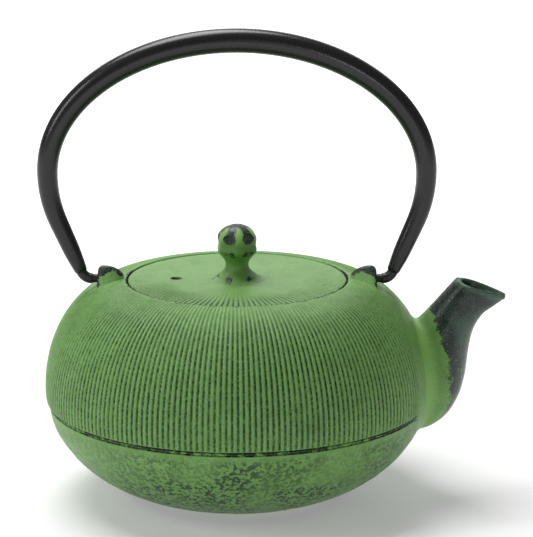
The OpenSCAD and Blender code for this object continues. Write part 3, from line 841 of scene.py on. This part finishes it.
p = points_of(pot)
x, y, z = p.T
r = np.hypot(x, y)
ribbed, hammered = relief_weights(p)
cloud = noise_field(p, 18.0, 3.1)
paint(pot, "ribbed", ribbed)
ink = 0.92 + 0.45 * cloud
ink -= 0.52 * (1 - smooth(45, 62, r)) * smooth(60, 78, z)
ink -= 0.30 * (1 - smooth(WAIST_TOP, WAIST_TOP + 9, z)) * smooth(-0.2, 0.25, cloud)
ink -= 0.22 * smooth(20, 62, np.abs(x + 5))
paint(pot, "ink", np.clip(ink, 0.12, 1.0))
belly = hammered * (0.55 + 0.45 * (1 - smooth(14, 30, z))) * np.clip(0.95 + 1.1 * cloud, 0.2, 1.2)
belly *= 1 - 0.55 * smooth(25, 60, -x)
belly += 0.35 * hammered * np.exp(-((x - 8) / 30) ** 2) * (y < 0) * smooth(6, 16, z)
paint(pot, "pitted", np.clip(belly, 0, 1))
waist = smooth(WAIST_LOW - 0.1, WAIST_LOW + 0.2, z) * (1 - smooth(WAIST_TOP - 0.15, WAIST_TOP + 0.15, z))
waist *= smooth(0.05, 0.4, spout_side(np.arctan2(y, x)))
waist *= np.clip(0.60 + 0.5 * cloud + 0.35 * noise_field(p, 4.0, 5.3), 0.2, 0.85)
proud = off_body(p)
on_spout = smooth(0.5, 2.0, proud) * smooth(60, 66, x)
edge_x = np.interp(z, SPOUT_EDGE[:, 0], SPOUT_EDGE[:, 1])
past_edge = x - edge_x
bare_spout = on_spout * smooth(-3.6, 3.6, past_edge)
# low on the spout only a streak stays dark, and the front edge beyond it is misted with green, partly a
# painted sheen of grazing light
low_front = (1 - smooth(44, 60, z)) * smooth(2.6, 5.2, past_edge)
bare_spout *= 1 - 0.46 * low_front
bare_spout *= 1 - 0.35 * (1 - smooth(16, 26, z))
mist_and_sheen = on_spout * np.maximum(smooth(4, 8, past_edge) * (1 - smooth(68, 75, z)), low_front)
# a pale painted reflection along the spout's rim, where the lip would catch the light
above_lip = z - (LIP_REAR_Z + (x - LIP_REAR_X) * LIP_SLOPE)
rim_sheen = smooth(81, 83, x) * np.maximum(smooth(-1.9, -0.4, above_lip),
                                          smooth(90, 99, x) * smooth(-4.0, -1.0, above_lip))
mist_and_sheen *= np.clip(0.65 + 0.6 * noise_field(p, 5.0, 9.0), 0.1, 1)
mist_and_sheen = np.maximum(mist_and_sheen, rim_sheen)
rise = z - shoulder_z(np.minimum(r, POT_R))
on_lug = (np.abs(x) > 42) & (np.abs(x) < 54) & (np.abs(y) < 10) & (z > 80)
crest = (1 - smooth(0.8, 3.0, np.abs(y))) * smooth(0.5, 1.6, rise)
bare_lug = on_lug * np.maximum.reduce([smooth(2.6, 4.6, rise), crest * 0.85,
                                       smooth(51.4, 52.6, np.abs(x)) * smooth(0.1, 1.0, rise) * 0.8,
                                       smooth(0.0, 2.0, y) * smooth(1.0, 2.4, rise) * 0.8])
# a dark line of painted shade in the gap between the lid and the mouth, on the side facing front
facing = 1 - smooth(8, 28, y)
mouth_gap_shade = 0.66 * facing * smooth(POT_H - 2, POT_H - 1.6, z)
mouth_gap_shade *= 1 - smooth(MOUTH_R + 0.4, MOUTH_R + 0.75, r)
bare_and_gap_shade = np.maximum.reduce([bare_spout, bare_lug * 0.92, waist, mouth_gap_shade])
paint(pot, "mist_and_sheen", mist_and_sheen)
# a paler green along the spout's fillet, and a deeper green further out on its root flank, more so higher
# up
root = smooth(0.05, 0.6, proud) * smooth(50, 56, x) * (1 - bare_spout)
paint(pot, "paler_green_and_highlight", 0.8 * root * (1 - smooth(1.8, 4.5, proud)))
paint(pot, "deeper_green_and_shade", 0.75 * root * smooth(3.0, 6.0, proud) * smooth(36, 50, z))
paint(pot, "bare_and_gap_shade", np.clip(bare_and_gap_shade, 0, 1))
print("masks stored for", len(p), "points")

# %% [markdown]
# The inside, the ledge and the walls of the mouth are black enamel. Faces that lie deeper than
# the outer skin get that finish.
# %% Enamel inside
pot.data.materials.clear()
pot.data.materials.append(pot_iron)
pot.data.materials.append(enamel_black)
for face in pot.data.polygons:
    c = face.center / MM
    reach = math.hypot(c.x, c.y)
    deep = reach - float(side_r(c.z)) < -1.2 and 2.5 < c.z < POT_H - 0.4
    in_mouth = reach < MOUTH_R + 0.1 and 2.5 < c.z < POT_H - 1.6
    in_lug = abs(c.x) > 44 and abs(c.y) < 10 and c.z > 80 and not in_mouth
    face.material_index = 1 if (deep or in_mouth) and not in_lug else 0
pot.data.shade_smooth()
pot.data.set_sharp_from_angle(angle=math.radians(62))
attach(pot, "pot")
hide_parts("pot_body")

# %% [markdown]
# The lid is a nearly flat disc that drops into the mouth. Its ribs are deep at the front
# edge, fade towards the knob and are worn faint at the back. A ring underneath keeps it from
# sliding, and a small steam hole is drilled on the side away from the spout. It is turned like
# the body, uses the same relief tree, and the hole is cut afterwards.
# %% Lid
LID_FINE = LID_RIBS * 6
SKIRT_R, SKIRT_T, SKIRT_H = 34.4, 2.0, 6.0
LID_DROP = 0.15
SHANK_R = 2.5
VENT_X, VENT_D = 23.2, 3.8
FLAT_R = 12.5
lid_z = POT_H - LID_T


def lid_top(r):
    return POT_H - LID_DROP * np.clip((r - FLAT_R) / (LID_R - 0.6 - FLAT_R), 0, 1) ** 2


lid_rings = [turn(r, float(lid_top(r)), LID_RIBS) for r in (SHANK_R + 0.1, 6, 9, 12, 14.5)]
lid_rings += [turn(r, float(lid_top(r)), LID_RIBS * 2) for r in (16.5, 18.5)]
lid_rings += [turn(r, float(lid_top(r)), LID_FINE) for r in np.linspace(20, LID_R - 0.9, 16)]
for a in (60, 30, 0):
    lid_rings.append(turn(LID_R - 0.8 + 0.8 * math.cos(math.radians(a)),
                          POT_H - LID_DROP - 0.8 + 0.8 * math.sin(math.radians(a)), LID_FINE))
lid_rings += [turn(LID_R, lid_z + 1.0, LID_RIBS * 2), turn(LID_R, lid_z + 0.3, LID_RIBS),
              turn(LID_R - 0.3, lid_z, LID_RIBS)]
lid_rings += [turn(r, z, LID_RIBS) for r, z in (
    (SKIRT_R + 0.8, lid_z), (SKIRT_R, lid_z - 0.8), (SKIRT_R, lid_z - SKIRT_H + 0.4),
    (SKIRT_R - 0.4, lid_z - SKIRT_H), (SKIRT_R - SKIRT_T + 0.4, lid_z - SKIRT_H),
    (SKIRT_R - SKIRT_T, lid_z - SKIRT_H + 0.4), (SKIRT_R - SKIRT_T, lid_z - 0.8),
    (SKIRT_R - SKIRT_T - 0.8, lid_z), (20, lid_z), (9, lid_z), (SHANK_R + 0.1, lid_z))]
lid = loft("lid_plate", lid_rings, ring_solid=True, sharp=0)


def lid_weights(p):
    r = np.hypot(p[:, 0], p[:, 1])
    top = smooth(lid_z + 1.2, lid_z + 1.9, p[:, 2])
    cloud = noise_field(p, 9.0, 7.7)
    facing = smooth(-0.35, 0.7, -p[:, 1] / np.maximum(r, 1))
    return top * smooth(21, 36, r + 5 * cloud) * (0.25 + 0.75 * facing), top, cloud, r


paint(lid, "ribbed", lid_weights(points_of(lid))[0])
paint(lid, "hammered", np.zeros(len(lid.data.vertices)))
run_tree(lid, relief, Rib_Count=float(LID_RIBS), Groove_Depth=0.38 * MM, Groove_Width=0.60,
         Hammer_Depth=0.0, Hammer_Size=2.6 * MM, Seed=4.0, Finish=lid_iron)
n = 40
t = 2 * np.pi * np.arange(n) / n
vent_ring = lambda z, k: np.column_stack([-VENT_X + k * VENT_D / 2 * np.cos(t),
                                          k * VENT_D / 2 * np.sin(t), np.full(n, z)]).tolist()
vent = loft("vent", [[(-VENT_X, 0, lid_z - 2)], vent_ring(lid_z - 2, 1), vent_ring(POT_H - 0.75, 1),
                     vent_ring(POT_H + 0.6, 1.45), [(-VENT_X, 0, POT_H + 0.6)]], sharp=0)
cut_or_join(lid, vent, "DIFFERENCE")
p = points_of(lid)
ribbed, top, cloud, r = lid_weights(p)
paint(lid, "ribbed", np.maximum(ribbed, 0.35 * top * smooth(10, 20, r)))
front = smooth(-0.2, 0.9, -p[:, 1] / np.maximum(r, 1))
paint(lid, "ink", np.clip((0.05 + 1.0 * front + 0.4 * cloud) * smooth(22, 38, r) + 0.06, 0.0, 1))
for name in ("pitted", "mist_and_sheen", "deeper_green_and_shade", "paler_green_and_highlight"):
    paint(lid, name, np.zeros(len(p)))
near_vent = np.hypot(p[:, 0] + VENT_X, p[:, 1])
# a dark line of painted shade in the gap at the lid's edge, on the side facing front
facing = 1 - smooth(8, 28, p[:, 1])
lid_gap_shade = 0.66 * facing * smooth(LID_R - 0.62, LID_R - 0.25, r)
paint(lid, "bare_and_gap_shade", np.maximum(lid_gap_shade, ((p[:, 2] < POT_H - 0.62) & (near_vent < 2.2)) * 1.0))
lid.data.materials.clear()
lid.data.materials.append(lid_iron)
lid.data.materials.append(enamel_black)
for face in lid.data.polygons:
    c = face.center / MM
    face.material_index = 1 if c.z < lid_z + 0.9 else 0
lid.data.shade_smooth()
lid.data.set_sharp_from_angle(angle=math.radians(55))
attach(lid, "lid")
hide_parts("lid")
print("lid:", triangles(lid), "triangles")

# %% [markdown]
# The knob is a bud: a foot that flares like petals, a thin neck and a round head with six
# soft ridges, with hollows pressed between them near the top. A turned profile carries it, and
# each point is then moved in by a rule of its angle and height.
# %% Knob
KNOB_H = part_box("knob")[1].z / MM - POT_H
# the knob's outline, as a share of its height and a radius
PROFILE = np.array([[0.0, 11.4], [0.008, 11.2], [0.025, 9.9], [0.05, 8.5], [0.09, 7.0], [0.13, 5.7],
                    [0.18, 4.75], [0.23, 4.35], [0.28, 4.32], [0.33, 4.6], [0.38, 5.2], [0.43, 6.1],
                    [0.48, 7.0], [0.53, 7.5], [0.58, 7.35], [0.63, 7.0], [0.68, 7.15], [0.74, 7.4],
                    [0.80, 7.15], [0.86, 6.3], [0.91, 5.3], [0.955, 3.8], [0.985, 2.1], [1.0, 0.0]])
KNOB_SIDES = 144
RIDGES = 6
turn_a = 2 * np.pi * np.arange(KNOB_SIDES) / KNOB_SIDES
FIRST_RIDGE = -math.pi / 2 + math.radians(7)
ridge = (1 + np.cos(RIDGES * (turn_a - FIRST_RIDGE))) / 2


def knob_row(u, r):
    """Radius round the knob at a share u of its height."""
    head = smooth(0.36, 0.55, u) * (1 - smooth(0.88, 1.0, u))
    hollow = float(np.exp(-((u - 0.765) / 0.07) ** 2))
    petal = float(np.exp(-((u - 0.03) / 0.035) ** 2))
    valley = 1 - ridge
    return (r + 0.45 * head * ridge ** 1.5 - 0.75 * hollow * smooth(0.25, 0.85, valley)
            - petal * (1.3 * valley + 0.5 * (1 + np.sin(2 * turn_a + 1.0))))


u_rows = np.concatenate([np.linspace(0, 0.18, 14), np.linspace(0.2, 0.97, 46), [0.985, 0.995]])
spline_r = np.interp(u_rows, PROFILE[:, 0], PROFILE[:, 1])
kernel = np.array([0.25, 0.5, 0.25])
for _ in range(3):
    spline_r[2:-2] = np.convolve(spline_r, kernel, "same")[2:-2]
WASHER_T = 1.2
clinch_z = lid_z - WASHER_T
knob_rings = [turn(0, clinch_z - 1.8, 1), turn(1.8, clinch_z - 1.75, KNOB_SIDES),
              turn(2.9, clinch_z - 1.2, KNOB_SIDES), turn(3.6, clinch_z - 0.4, KNOB_SIDES),
              turn(3.5, clinch_z, KNOB_SIDES), turn(SHANK_R, clinch_z, KNOB_SIDES),
              turn(SHANK_R, POT_H + 0.01, KNOB_SIDES)]
knob_rings.append(turn(knob_row(0.0, spline_r[0]), POT_H + 0.01, KNOB_SIDES))
knob_rings += [turn(knob_row(u, r), POT_H + KNOB_H * u, KNOB_SIDES)
               for u, r in zip(u_rows[1:], spline_r[1:])]
knob_rings.append(turn(0, POT_H + KNOB_H, 1))
knob = loft("bud_knob", knob_rings, sharp=50)
p = points_of(knob)
u = (p[:, 2] - POT_H) / KNOB_H
valley = (1 - np.cos(RIDGES * (np.arctan2(p[:, 1], p[:, 0]) - FIRST_RIDGE))) / 2
across = np.arccos(np.clip(2 * valley - 1, -1, 1)) / math.pi
hollow = 1 - smooth(0.6, 1.3, np.hypot((u - 0.79) / 0.115, across / 0.72))
smear = 0.50 * (1 - smooth(0.5, 1.2, np.hypot((u - 0.50) / 0.09, across / 0.8)))
dome = smooth(0.82, 0.92, u) * (0.30 + 0.75 * valley) + smooth(0.93, 0.98, u) * 0.6
root = 0.66 * np.exp(-((u - 0.045) / 0.05) ** 2) * smooth(0.35, 0.9, valley)
paint(knob, "bare_and_gap_shade", np.clip(np.maximum.reduce([hollow * 1.1, dome, root, smear, u < -0.01]), 0, 1))
# a deeper green on the neck and head is painted shade, and a paler green on the upper ridges is a painted
# highlight
paint(knob, "deeper_green_and_shade", (0.8 * smooth(0.2, 0.4, u) + 0.1) * (1 - 0.9 * smooth(0.62, 0.8, u) * (1 - valley)))
paint(knob, "paler_green_and_highlight", 0.7 * smooth(0.62, 0.8, u) * (1 - smooth(0.1, 0.5, valley)))
for name in ("ribbed", "ink", "pitted", "mist_and_sheen"):
    paint(knob, name, np.zeros(len(p)))
knob.data.materials.append(knob_iron)
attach(knob, "lid")
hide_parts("knob")
print("knob height", round(KNOB_H, 1), "mm")

# %% [markdown]
# A steel washer under the lid spreads the pull of the knob's hammered-over tail. It is turned,
# with its two outer edges taken off.
# %% Washer under the lid
WASHER_R, WASHER_BORE_R, WASHER_EDGE = 7.0, 2.6, 0.2
washer = loft("washer", [turn(r, z, 72) for r, z in (
    (WASHER_BORE_R, lid_z), (WASHER_R - WASHER_EDGE, lid_z), (WASHER_R, lid_z - WASHER_EDGE),
    (WASHER_R, clinch_z + WASHER_EDGE), (WASHER_R - WASHER_EDGE, clinch_z),
    (WASHER_BORE_R, clinch_z))], ring_solid=True)
washer.data.materials.append(stainless)
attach(washer, "lid")
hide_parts("knob_washer")

# %% [markdown]
# The handle is a steel tube that tapers to both ends and is bent into an arch. Its route is a
# straight leg and a curve on each side, with half an ellipse over the top. At each end the
# tube is swaged onto a hook of thick wire whose straight end is the pivot pin.
# %% Handle route
HANDLE_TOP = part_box("handle_tube")[1].z / MM
HANDLE_D, HANDLE_END_D, NECK_D = 9.2, 5.0, 4.35
HANDLE_HALF = 71.4
HANDLE_RISE = HANDLE_TOP - HANDLE_D / 2 - PIVOT_Z
ARCH = 50.4
LEG_CURVE = 48.0
LEAN = math.radians(23.5)
HOOK_R = 4.2
ARCH_Z = PIVOT_Z + HANDLE_RISE - ARCH
leg_top_x = HANDLE_HALF - LEG_CURVE * (1 - math.cos(LEAN))
leg_rise = HANDLE_RISE - ARCH - LEG_CURVE * math.sin(LEAN)
corner_x = leg_top_x - leg_rise * math.tan(LEAN)
hook_tangent = HOOK_R * math.tan((math.pi / 2 - LEAN) / 2)
leg_len = leg_rise / math.cos(LEAN) - hook_tangent


def leg_at(d):
    return (corner_x + (hook_tangent + d) * math.sin(LEAN), PIVOT_Z + (hook_tangent + d) * math.cos(LEAN),
            LEAN)


def half_route(start):
    route = [leg_at(start + (leg_len - start) * i / 16) for i in range(16)]
    for i in range(12):
        a = LEAN * (1 - i / 12)
        route.append((HANDLE_HALF - LEG_CURVE * (1 - math.cos(a)), ARCH_Z - LEG_CURVE * math.sin(a), a))
    for i in range(61):
        a = math.pi / 2 * i / 60
        route.append((HANDLE_HALF * math.cos(a), ARCH_Z + ARCH * math.sin(a),
                      -math.atan2(HANDLE_HALF * math.sin(a), ARCH * math.cos(a))))
    return route


def tube_d(z):
    low = leg_at(0)[1]
    share = max(0.0, (z - low) / (PIVOT_Z + HANDLE_RISE - low))
    swaged = (HANDLE_END_D - NECK_D) * (1 - smooth(0, 9, z - low))
    return HANDLE_END_D + (HANDLE_D - HANDLE_END_D) * share ** 0.45 - swaged


# %% [markdown]
# The tube is swept along that route with many rings, and its two ends are rounded off. A fine
# seam from rolling the sheet runs along its inner side: three points of each ring sink a little.
# %% Handle tube
SEAM_DEPTH = 0.14
seam = np.radians([176.4, 178.2, 180, 181.8, 183.6])
around = np.sort(np.concatenate([np.radians(np.linspace(0, 170, 18)), seam,
                                 np.radians(np.linspace(190, 350, 17))]))
seam_cut = np.where(np.abs(around - math.pi) < 0.05, SEAM_DEPTH, 0.0)
seam_cut = np.where(np.abs(around - math.pi) < 0.01, SEAM_DEPTH * 1.4, seam_cut)


def tube_ring(x, z, lean, d):
    r = d / 2 - seam_cut
    return np.column_stack([x + r * np.cos(around) * math.cos(lean), r * np.sin(around),
                            z - r * np.cos(around) * math.sin(lean)]).tolist()


END_ROUND = 0.4
right = half_route(END_ROUND)
route = right + [(-x, z, math.pi - a) for x, z, a in right[-2::-1]]
tube_rings = [tube_ring(x, z, a, tube_d(z)) for x, z, a in route]
x0, z0, a0 = right[0]
# the tube's rounded end and the edge of its bore, past the first ring of the route
ends = [(x0 - math.sin(a0) * past, z0 - math.cos(a0) * past, a0, d)
        for past, d in ((0.224, NECK_D - 0.25), (0.32, NECK_D - 0.7), (0.32, PIN_D - 0.2))]
start_rings = [tube_ring(*e) for e in reversed(ends)]
finish_rings = [tube_ring(-e[0], e[1], math.pi - e[2], e[3]) for e in ends]
first = [[(ends[-1][0], 0.0, ends[-1][1])]]
last = [[(-ends[-1][0], 0.0, ends[-1][1])]]
handle = loft("bail_handle", first + start_rings + tube_rings + finish_rings + last, sharp=50)
handle.data.materials.append(lacquer_black)
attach(handle, "handle")
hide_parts("handle_tube")
print("handle:", triangles(handle), "triangles, top at", round(HANDLE_TOP, 1), "mm")

# %% [markdown]
# Each hook is one bent wire. Its path is the pin along X, the bend and a straight end inside
# the tube. It is a little thicker through the bend, where the wire was upset.
# %% Hooks
WIRE_SIDES = 28
UPSET = 0.8
TAIL_LEN = 5.0


def hook(side):
    bend_x = corner_x - hook_tangent
    path = [(PIN_TIP_X, PIVOT_Z, 90.0, 0.0), (PIN_TIP_X, PIVOT_Z, 90.0, 2.2),
            (PIN_TIP_X + 0.3, PIVOT_Z, 90.0, PIN_D)]
    path += [(x, PIVOT_Z, 90.0, PIN_D) for x in np.linspace(47, bend_x - 1.2, 8)]
    path += [(bend_x - 0.6, PIVOT_Z, 90.0, PIN_D + 0.15), (bend_x - 0.1, PIVOT_Z, 90.0, PIN_D + 0.5)]
    turn_deg = 90 - math.degrees(LEAN)
    for i in range(15):
        a = turn_deg * i / 14
        path.append((bend_x + HOOK_R * math.sin(math.radians(a)),
                     PIVOT_Z + HOOK_R * (1 - math.cos(math.radians(a))), 90 - a, PIN_D + UPSET))
    for d in (0.1, 0.35, 1.5, TAIL_LEN):
        px, pz, lean = leg_at(d)
        path.append((px, pz, math.degrees(lean), PIN_D + (UPSET if d < 0.3 else 0.0)))
    px, pz, lean = leg_at(TAIL_LEN)
    path.append((px, pz, math.degrees(lean), 0.0))
    t = 2 * np.pi * np.arange(WIRE_SIDES) / WIRE_SIDES
    rings = []
    for px, pz, lean, d in path:
        a = math.radians(lean)
        if d == 0.0:
            rings.append([(side * px, 0.0, pz)])
            continue
        rings.append(np.column_stack([side * (px + d / 2 * np.cos(t) * math.cos(a)), d / 2 * np.sin(t),
                                      pz - d / 2 * np.cos(t) * math.sin(a)]).tolist())
    name = "hook_right" if side > 0 else "hook_left"
    piece = loft(name, rings, sharp=45)
    piece.data.materials.append(wire_black)
    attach(piece, "handle")
    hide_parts("handle_" + ("hook_right" if side > 0 else "hook_left"))


hook(1)
hook(-1)

# %% [markdown]
# The infuser hangs from the ledge inside the pot. Its rim is pressed sheet with a rolled edge
# and a collar, and a thin ring clamps the bottom. Both are turned.
# %% Infuser rim and base ring
RIM_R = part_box("infuser_rim")[1].x / MM
COLLAR_R = LEDGE_R - 0.5
MESH_R = COLLAR_R - RIM_T
BASE_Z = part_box("infuser_base_ring")[0].z / MM
SHEET_N = 180
rim = loft("infuser_rim_sheet", [turn(r, z, SHEET_N) for r, z in (
    (MESH_R, LEDGE_Z - 8), (MESH_R, LEDGE_Z - 6.4), (MESH_R + 0.22, LEDGE_Z - 6.0),
    (MESH_R, LEDGE_Z - 5.6), (MESH_R, LEDGE_Z - 0.3), (MESH_R + 0.25, LEDGE_Z + RIM_T - 0.15),
    (MESH_R + 0.9, LEDGE_Z + RIM_T), (RIM_R - 0.35, LEDGE_Z + RIM_T), (RIM_R, LEDGE_Z + RIM_T / 2),
    (RIM_R - 0.35, LEDGE_Z), (COLLAR_R + 0.5, LEDGE_Z), (COLLAR_R, LEDGE_Z - 0.5),
    (COLLAR_R, LEDGE_Z - 5.6), (COLLAR_R - 0.2, LEDGE_Z - 6.0), (COLLAR_R, LEDGE_Z - 6.4),
    (COLLAR_R, LEDGE_Z - 8))], ring_solid=True, sharp=30)
shoe = loft("infuser_base_hoop", [turn(r, z, SHEET_N) for r, z in (
    (MESH_R - 5, BASE_Z), (MESH_R, BASE_Z), (COLLAR_R - 0.2, BASE_Z + 0.1), (COLLAR_R, BASE_Z + 0.4),
    (COLLAR_R, BASE_Z + 3.1), (COLLAR_R - 0.3, BASE_Z + 3.3), (MESH_R, BASE_Z + 3.1),
    (MESH_R, BASE_Z + 0.8), (MESH_R - 0.3, BASE_Z + 0.6), (MESH_R - 5, BASE_Z + 0.6))],
    ring_solid=True, sharp=30)
for piece, node in ((rim, "infuser_rim"), (shoe, "infuser_base_ring")):
    piece.data.materials.append(stainless)
    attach(piece, "infuser")
    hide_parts(node)

# %% [markdown]
# The basket is woven wire, so that is what is modelled: upright wires and hoops that pass over
# and under each other. The weave follows one rule, a wave whose sign changes from wire to
# wire, so Geometry Nodes place the wires, wave them and give them a round section.
# %% Woven wire trees
WIRE_D = 0.30
PITCH = 1.5
UPRIGHTS = 150


def cosine_of(tree, value, per):
    """cos(pi * value / per)"""
    return math_of(tree, "COSINE", math_of(tree, "MULTIPLY", math_of(tree, "DIVIDE", value, per), math.pi))


def wire_end(tree, given, parts):
    """Gives every route a round section, sets the finish and ends the tree."""
    profile = add(tree, "GeometryNodeCurvePrimitiveCircle", {
        "Radius": math_of(tree, "MULTIPLY", given["Wire"], 0.5)}, {"Resolution": 4}).outputs[0]
    join = add(tree, "GeometryNodeJoinGeometry")
    for part in parts:
        tube = add(tree, "GeometryNodeCurveToMesh", {"Curve": part, "Profile Curve": profile},
                   {"Fill Caps": True}).outputs[0]
        tree.links.new(tube, join.inputs[0])
    smoothed = add(tree, "GeometryNodeSetShadeSmooth", {"Geometry": join.outputs[0]}).outputs[0]
    real = add(tree, "GeometryNodeRealizeInstances", {"Geometry": smoothed}).outputs[0]
    done = add(tree, "GeometryNodeSetMaterial", {"Geometry": real, "Material": given["Finish"]})
    add(tree, "NodeGroupOutput", {"Geometry": done.outputs[0]})


def wall_tree():
    tree, given = new_tree("woven_wall", (
        ("Radius", "Float"), ("Bottom", "Float"), ("Top", "Float"), ("Uprights", "Int"),
        ("Hoops", "Int"), ("Wire", "Float"), ("Finish", "Material")))
    low = add(tree, "ShaderNodeCombineXYZ", {"Z": given["Bottom"]}).outputs[0]
    high = add(tree, "ShaderNodeCombineXYZ", {"Z": given["Top"]}).outputs[0]
    height = math_of(tree, "SUBTRACT", given["Top"], given["Bottom"])
    gap = math_of(tree, "DIVIDE", height, math_of(tree, "SUBTRACT", given["Hoops"], 1.0))
    upright = add(tree, "GeometryNodeCurvePrimitiveLine", {"Start": low, "End": high}).outputs[0]
    steps = math_of(tree, "SUBTRACT", math_of(tree, "MULTIPLY", given["Hoops"], 2.0), 1.0)
    upright = add(tree, "GeometryNodeResampleCurve", {"Curve": upright, "Count": steps}).outputs[0]
    circle = add(tree, "GeometryNodeMeshCircle", {"Vertices": given["Uprights"],
                                                  "Radius": given["Radius"]}).outputs[0]
    uprights = add(tree, "GeometryNodeInstanceOnPoints", {"Points": circle, "Instance": upright})
    hoop = add(tree, "GeometryNodeCurvePrimitiveCircle", {
        "Radius": given["Radius"],
        "Resolution": math_of(tree, "MULTIPLY", given["Uprights"], 2.0)}).outputs[0]
    levels = add(tree, "GeometryNodeMeshLine", {"Count": given["Hoops"], "Start Location": low,
                 "Offset": add(tree, "ShaderNodeCombineXYZ", {"Z": gap}).outputs[0]}).outputs[0]
    hoops = add(tree, "GeometryNodeInstanceOnPoints", {"Points": levels, "Instance": hoop})
    where = add(tree, "GeometryNodeInputPosition").outputs[0]
    xyz = add(tree, "ShaderNodeSeparateXYZ", {"Vector": where}).outputs
    turn_of = math_of(tree, "MULTIPLY", math_of(tree, "ARCTAN2", xyz["Y"], xyz["X"]), given["Uprights"])
    across = math_of(tree, "COSINE", math_of(tree, "MULTIPLY", turn_of, 0.5))
    along = cosine_of(tree, math_of(tree, "SUBTRACT", xyz["Z"], given["Bottom"]), gap)
    wave = math_of(tree, "MULTIPLY", math_of(tree, "MULTIPLY", across, along), given["Wire"])
    outward = add(tree, "ShaderNodeVectorMath", {0: add(tree, "ShaderNodeVectorMath", {
        0: where}, {1: (1, 1, 0)}, operation="MULTIPLY").outputs[0]}, operation="NORMALIZE").outputs[0]
    parts = []
    for found, sign in ((uprights, 0.5), (hoops, -0.5)):
        real = add(tree, "GeometryNodeRealizeInstances", {"Geometry": found.outputs[0]}).outputs[0]
        offset = add(tree, "ShaderNodeVectorMath", {0: outward,
                     "Scale": math_of(tree, "MULTIPLY", wave, sign)}, operation="SCALE").outputs[0]
        parts.append(add(tree, "GeometryNodeSetPosition", {"Geometry": real, "Offset": offset}).outputs[0])
    wire_end(tree, given, parts)
    return tree


def sheet_tree():
    tree, given = new_tree("woven_sheet", (
        ("Radius", "Float"), ("Height", "Float"), ("Pitch", "Float"), ("Wire", "Float"),
        ("Finish", "Material")))
    across = math_of(tree, "FLOOR", math_of(tree, "DIVIDE", given["Radius"], given["Pitch"]))
    count = math_of(tree, "ADD", math_of(tree, "MULTIPLY", across, 2.0), 1.0)
    first = math_of(tree, "MULTIPLY", math_of(tree, "MULTIPLY", across, given["Pitch"]), -1.0)
    row = add(tree, "GeometryNodeMeshLine", {
        "Count": count, "Start Location": add(tree, "ShaderNodeCombineXYZ", {
            "X": first, "Z": given["Height"]}).outputs[0],
        "Offset": add(tree, "ShaderNodeCombineXYZ", {"X": given["Pitch"]}).outputs[0]}).outputs[0]
    wire = add(tree, "GeometryNodeCurvePrimitiveLine",
               values={"Start": (0, -1, 0), "End": (0, 1, 0)}).outputs[0]
    spot = add(tree, "ShaderNodeSeparateXYZ", {
        "Vector": add(tree, "GeometryNodeInputPosition").outputs[0]}).outputs["X"]
    half = math_of(tree, "SQRT", math_of(tree, "MAXIMUM", math_of(
        tree, "SUBTRACT", math_of(tree, "MULTIPLY", given["Radius"], given["Radius"]),
        math_of(tree, "MULTIPLY", spot, spot)), 1e-8))
    size = add(tree, "ShaderNodeCombineXYZ", {"Y": half}, {"X": 1.0, "Z": 1.0}).outputs[0]
    rows = add(tree, "GeometryNodeInstanceOnPoints", {"Points": row, "Instance": wire,
                                                      "Scale": size}).outputs[0]
    real = add(tree, "GeometryNodeRealizeInstances", {"Geometry": rows}).outputs[0]
    real = add(tree, "GeometryNodeResampleCurve", {"Curve": real, "Length": math_of(
        tree, "MULTIPLY", given["Pitch"], 0.5)}, mode="LENGTH").outputs[0]
    turned = add(tree, "GeometryNodeTransform", {"Geometry": real},
                 {"Rotation": (0, 0, math.pi / 2)}).outputs[0]
    where = add(tree, "GeometryNodeInputPosition").outputs[0]
    xyz = add(tree, "ShaderNodeSeparateXYZ", {"Vector": where}).outputs
    wave = math_of(tree, "MULTIPLY", math_of(tree, "MULTIPLY", cosine_of(tree, xyz["X"], given["Pitch"]),
                                             cosine_of(tree, xyz["Y"], given["Pitch"])), given["Wire"])
    parts = []
    for route_of, sign in ((real, 0.5), (turned, -0.5)):
        offset = add(tree, "ShaderNodeCombineXYZ", {"Z": math_of(tree, "MULTIPLY", wave, sign)}).outputs[0]
        parts.append(add(tree, "GeometryNodeSetPosition",
                         {"Geometry": route_of, "Offset": offset}).outputs[0])
    wire_end(tree, given, parts)
    return tree


# %% [markdown]
# The trees are run on two empty pieces. The wall's wires stay just inside the collar and the
# base ring, and the bottom lies on the ring's flange.
# %% Woven basket
def woven(name, tree, node, **inputs):
    piece = bpy.data.objects.new(name, bpy.data.meshes.new(name))
    bpy.context.scene.collection.objects.link(piece)
    run_tree(piece, tree, **inputs)
    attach(piece, "infuser")
    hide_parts(node)
    print(name, triangles(piece), "triangles")


WALL_INSET, BOTTOM_INSET = 0.33, 0.6
WALL_MARGIN, BOTTOM_RISE = 0.4, 0.95
wall_low, wall_high = (corner.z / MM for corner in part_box("infuser_wall_mesh"))
hoop_count = 1 + round((wall_high - wall_low - 2 * WALL_MARGIN) / PITCH)
woven("basket_wall", wall_tree(), "infuser_wall_mesh", Radius=(MESH_R - WALL_INSET) * MM,
      Bottom=(wall_low + WALL_MARGIN) * MM, Top=(wall_high - WALL_MARGIN) * MM, Uprights=UPRIGHTS,
      Hoops=hoop_count, Wire=WIRE_D * MM, Finish=wire_steel)
woven("basket_bottom", sheet_tree(), "infuser_base_mesh", Radius=(MESH_R - BOTTOM_INSET) * MM,
      Height=(BASE_Z + BOTTOM_RISE) * MM, Pitch=PITCH * MM, Wire=WIRE_D * MM, Finish=wire_steel)
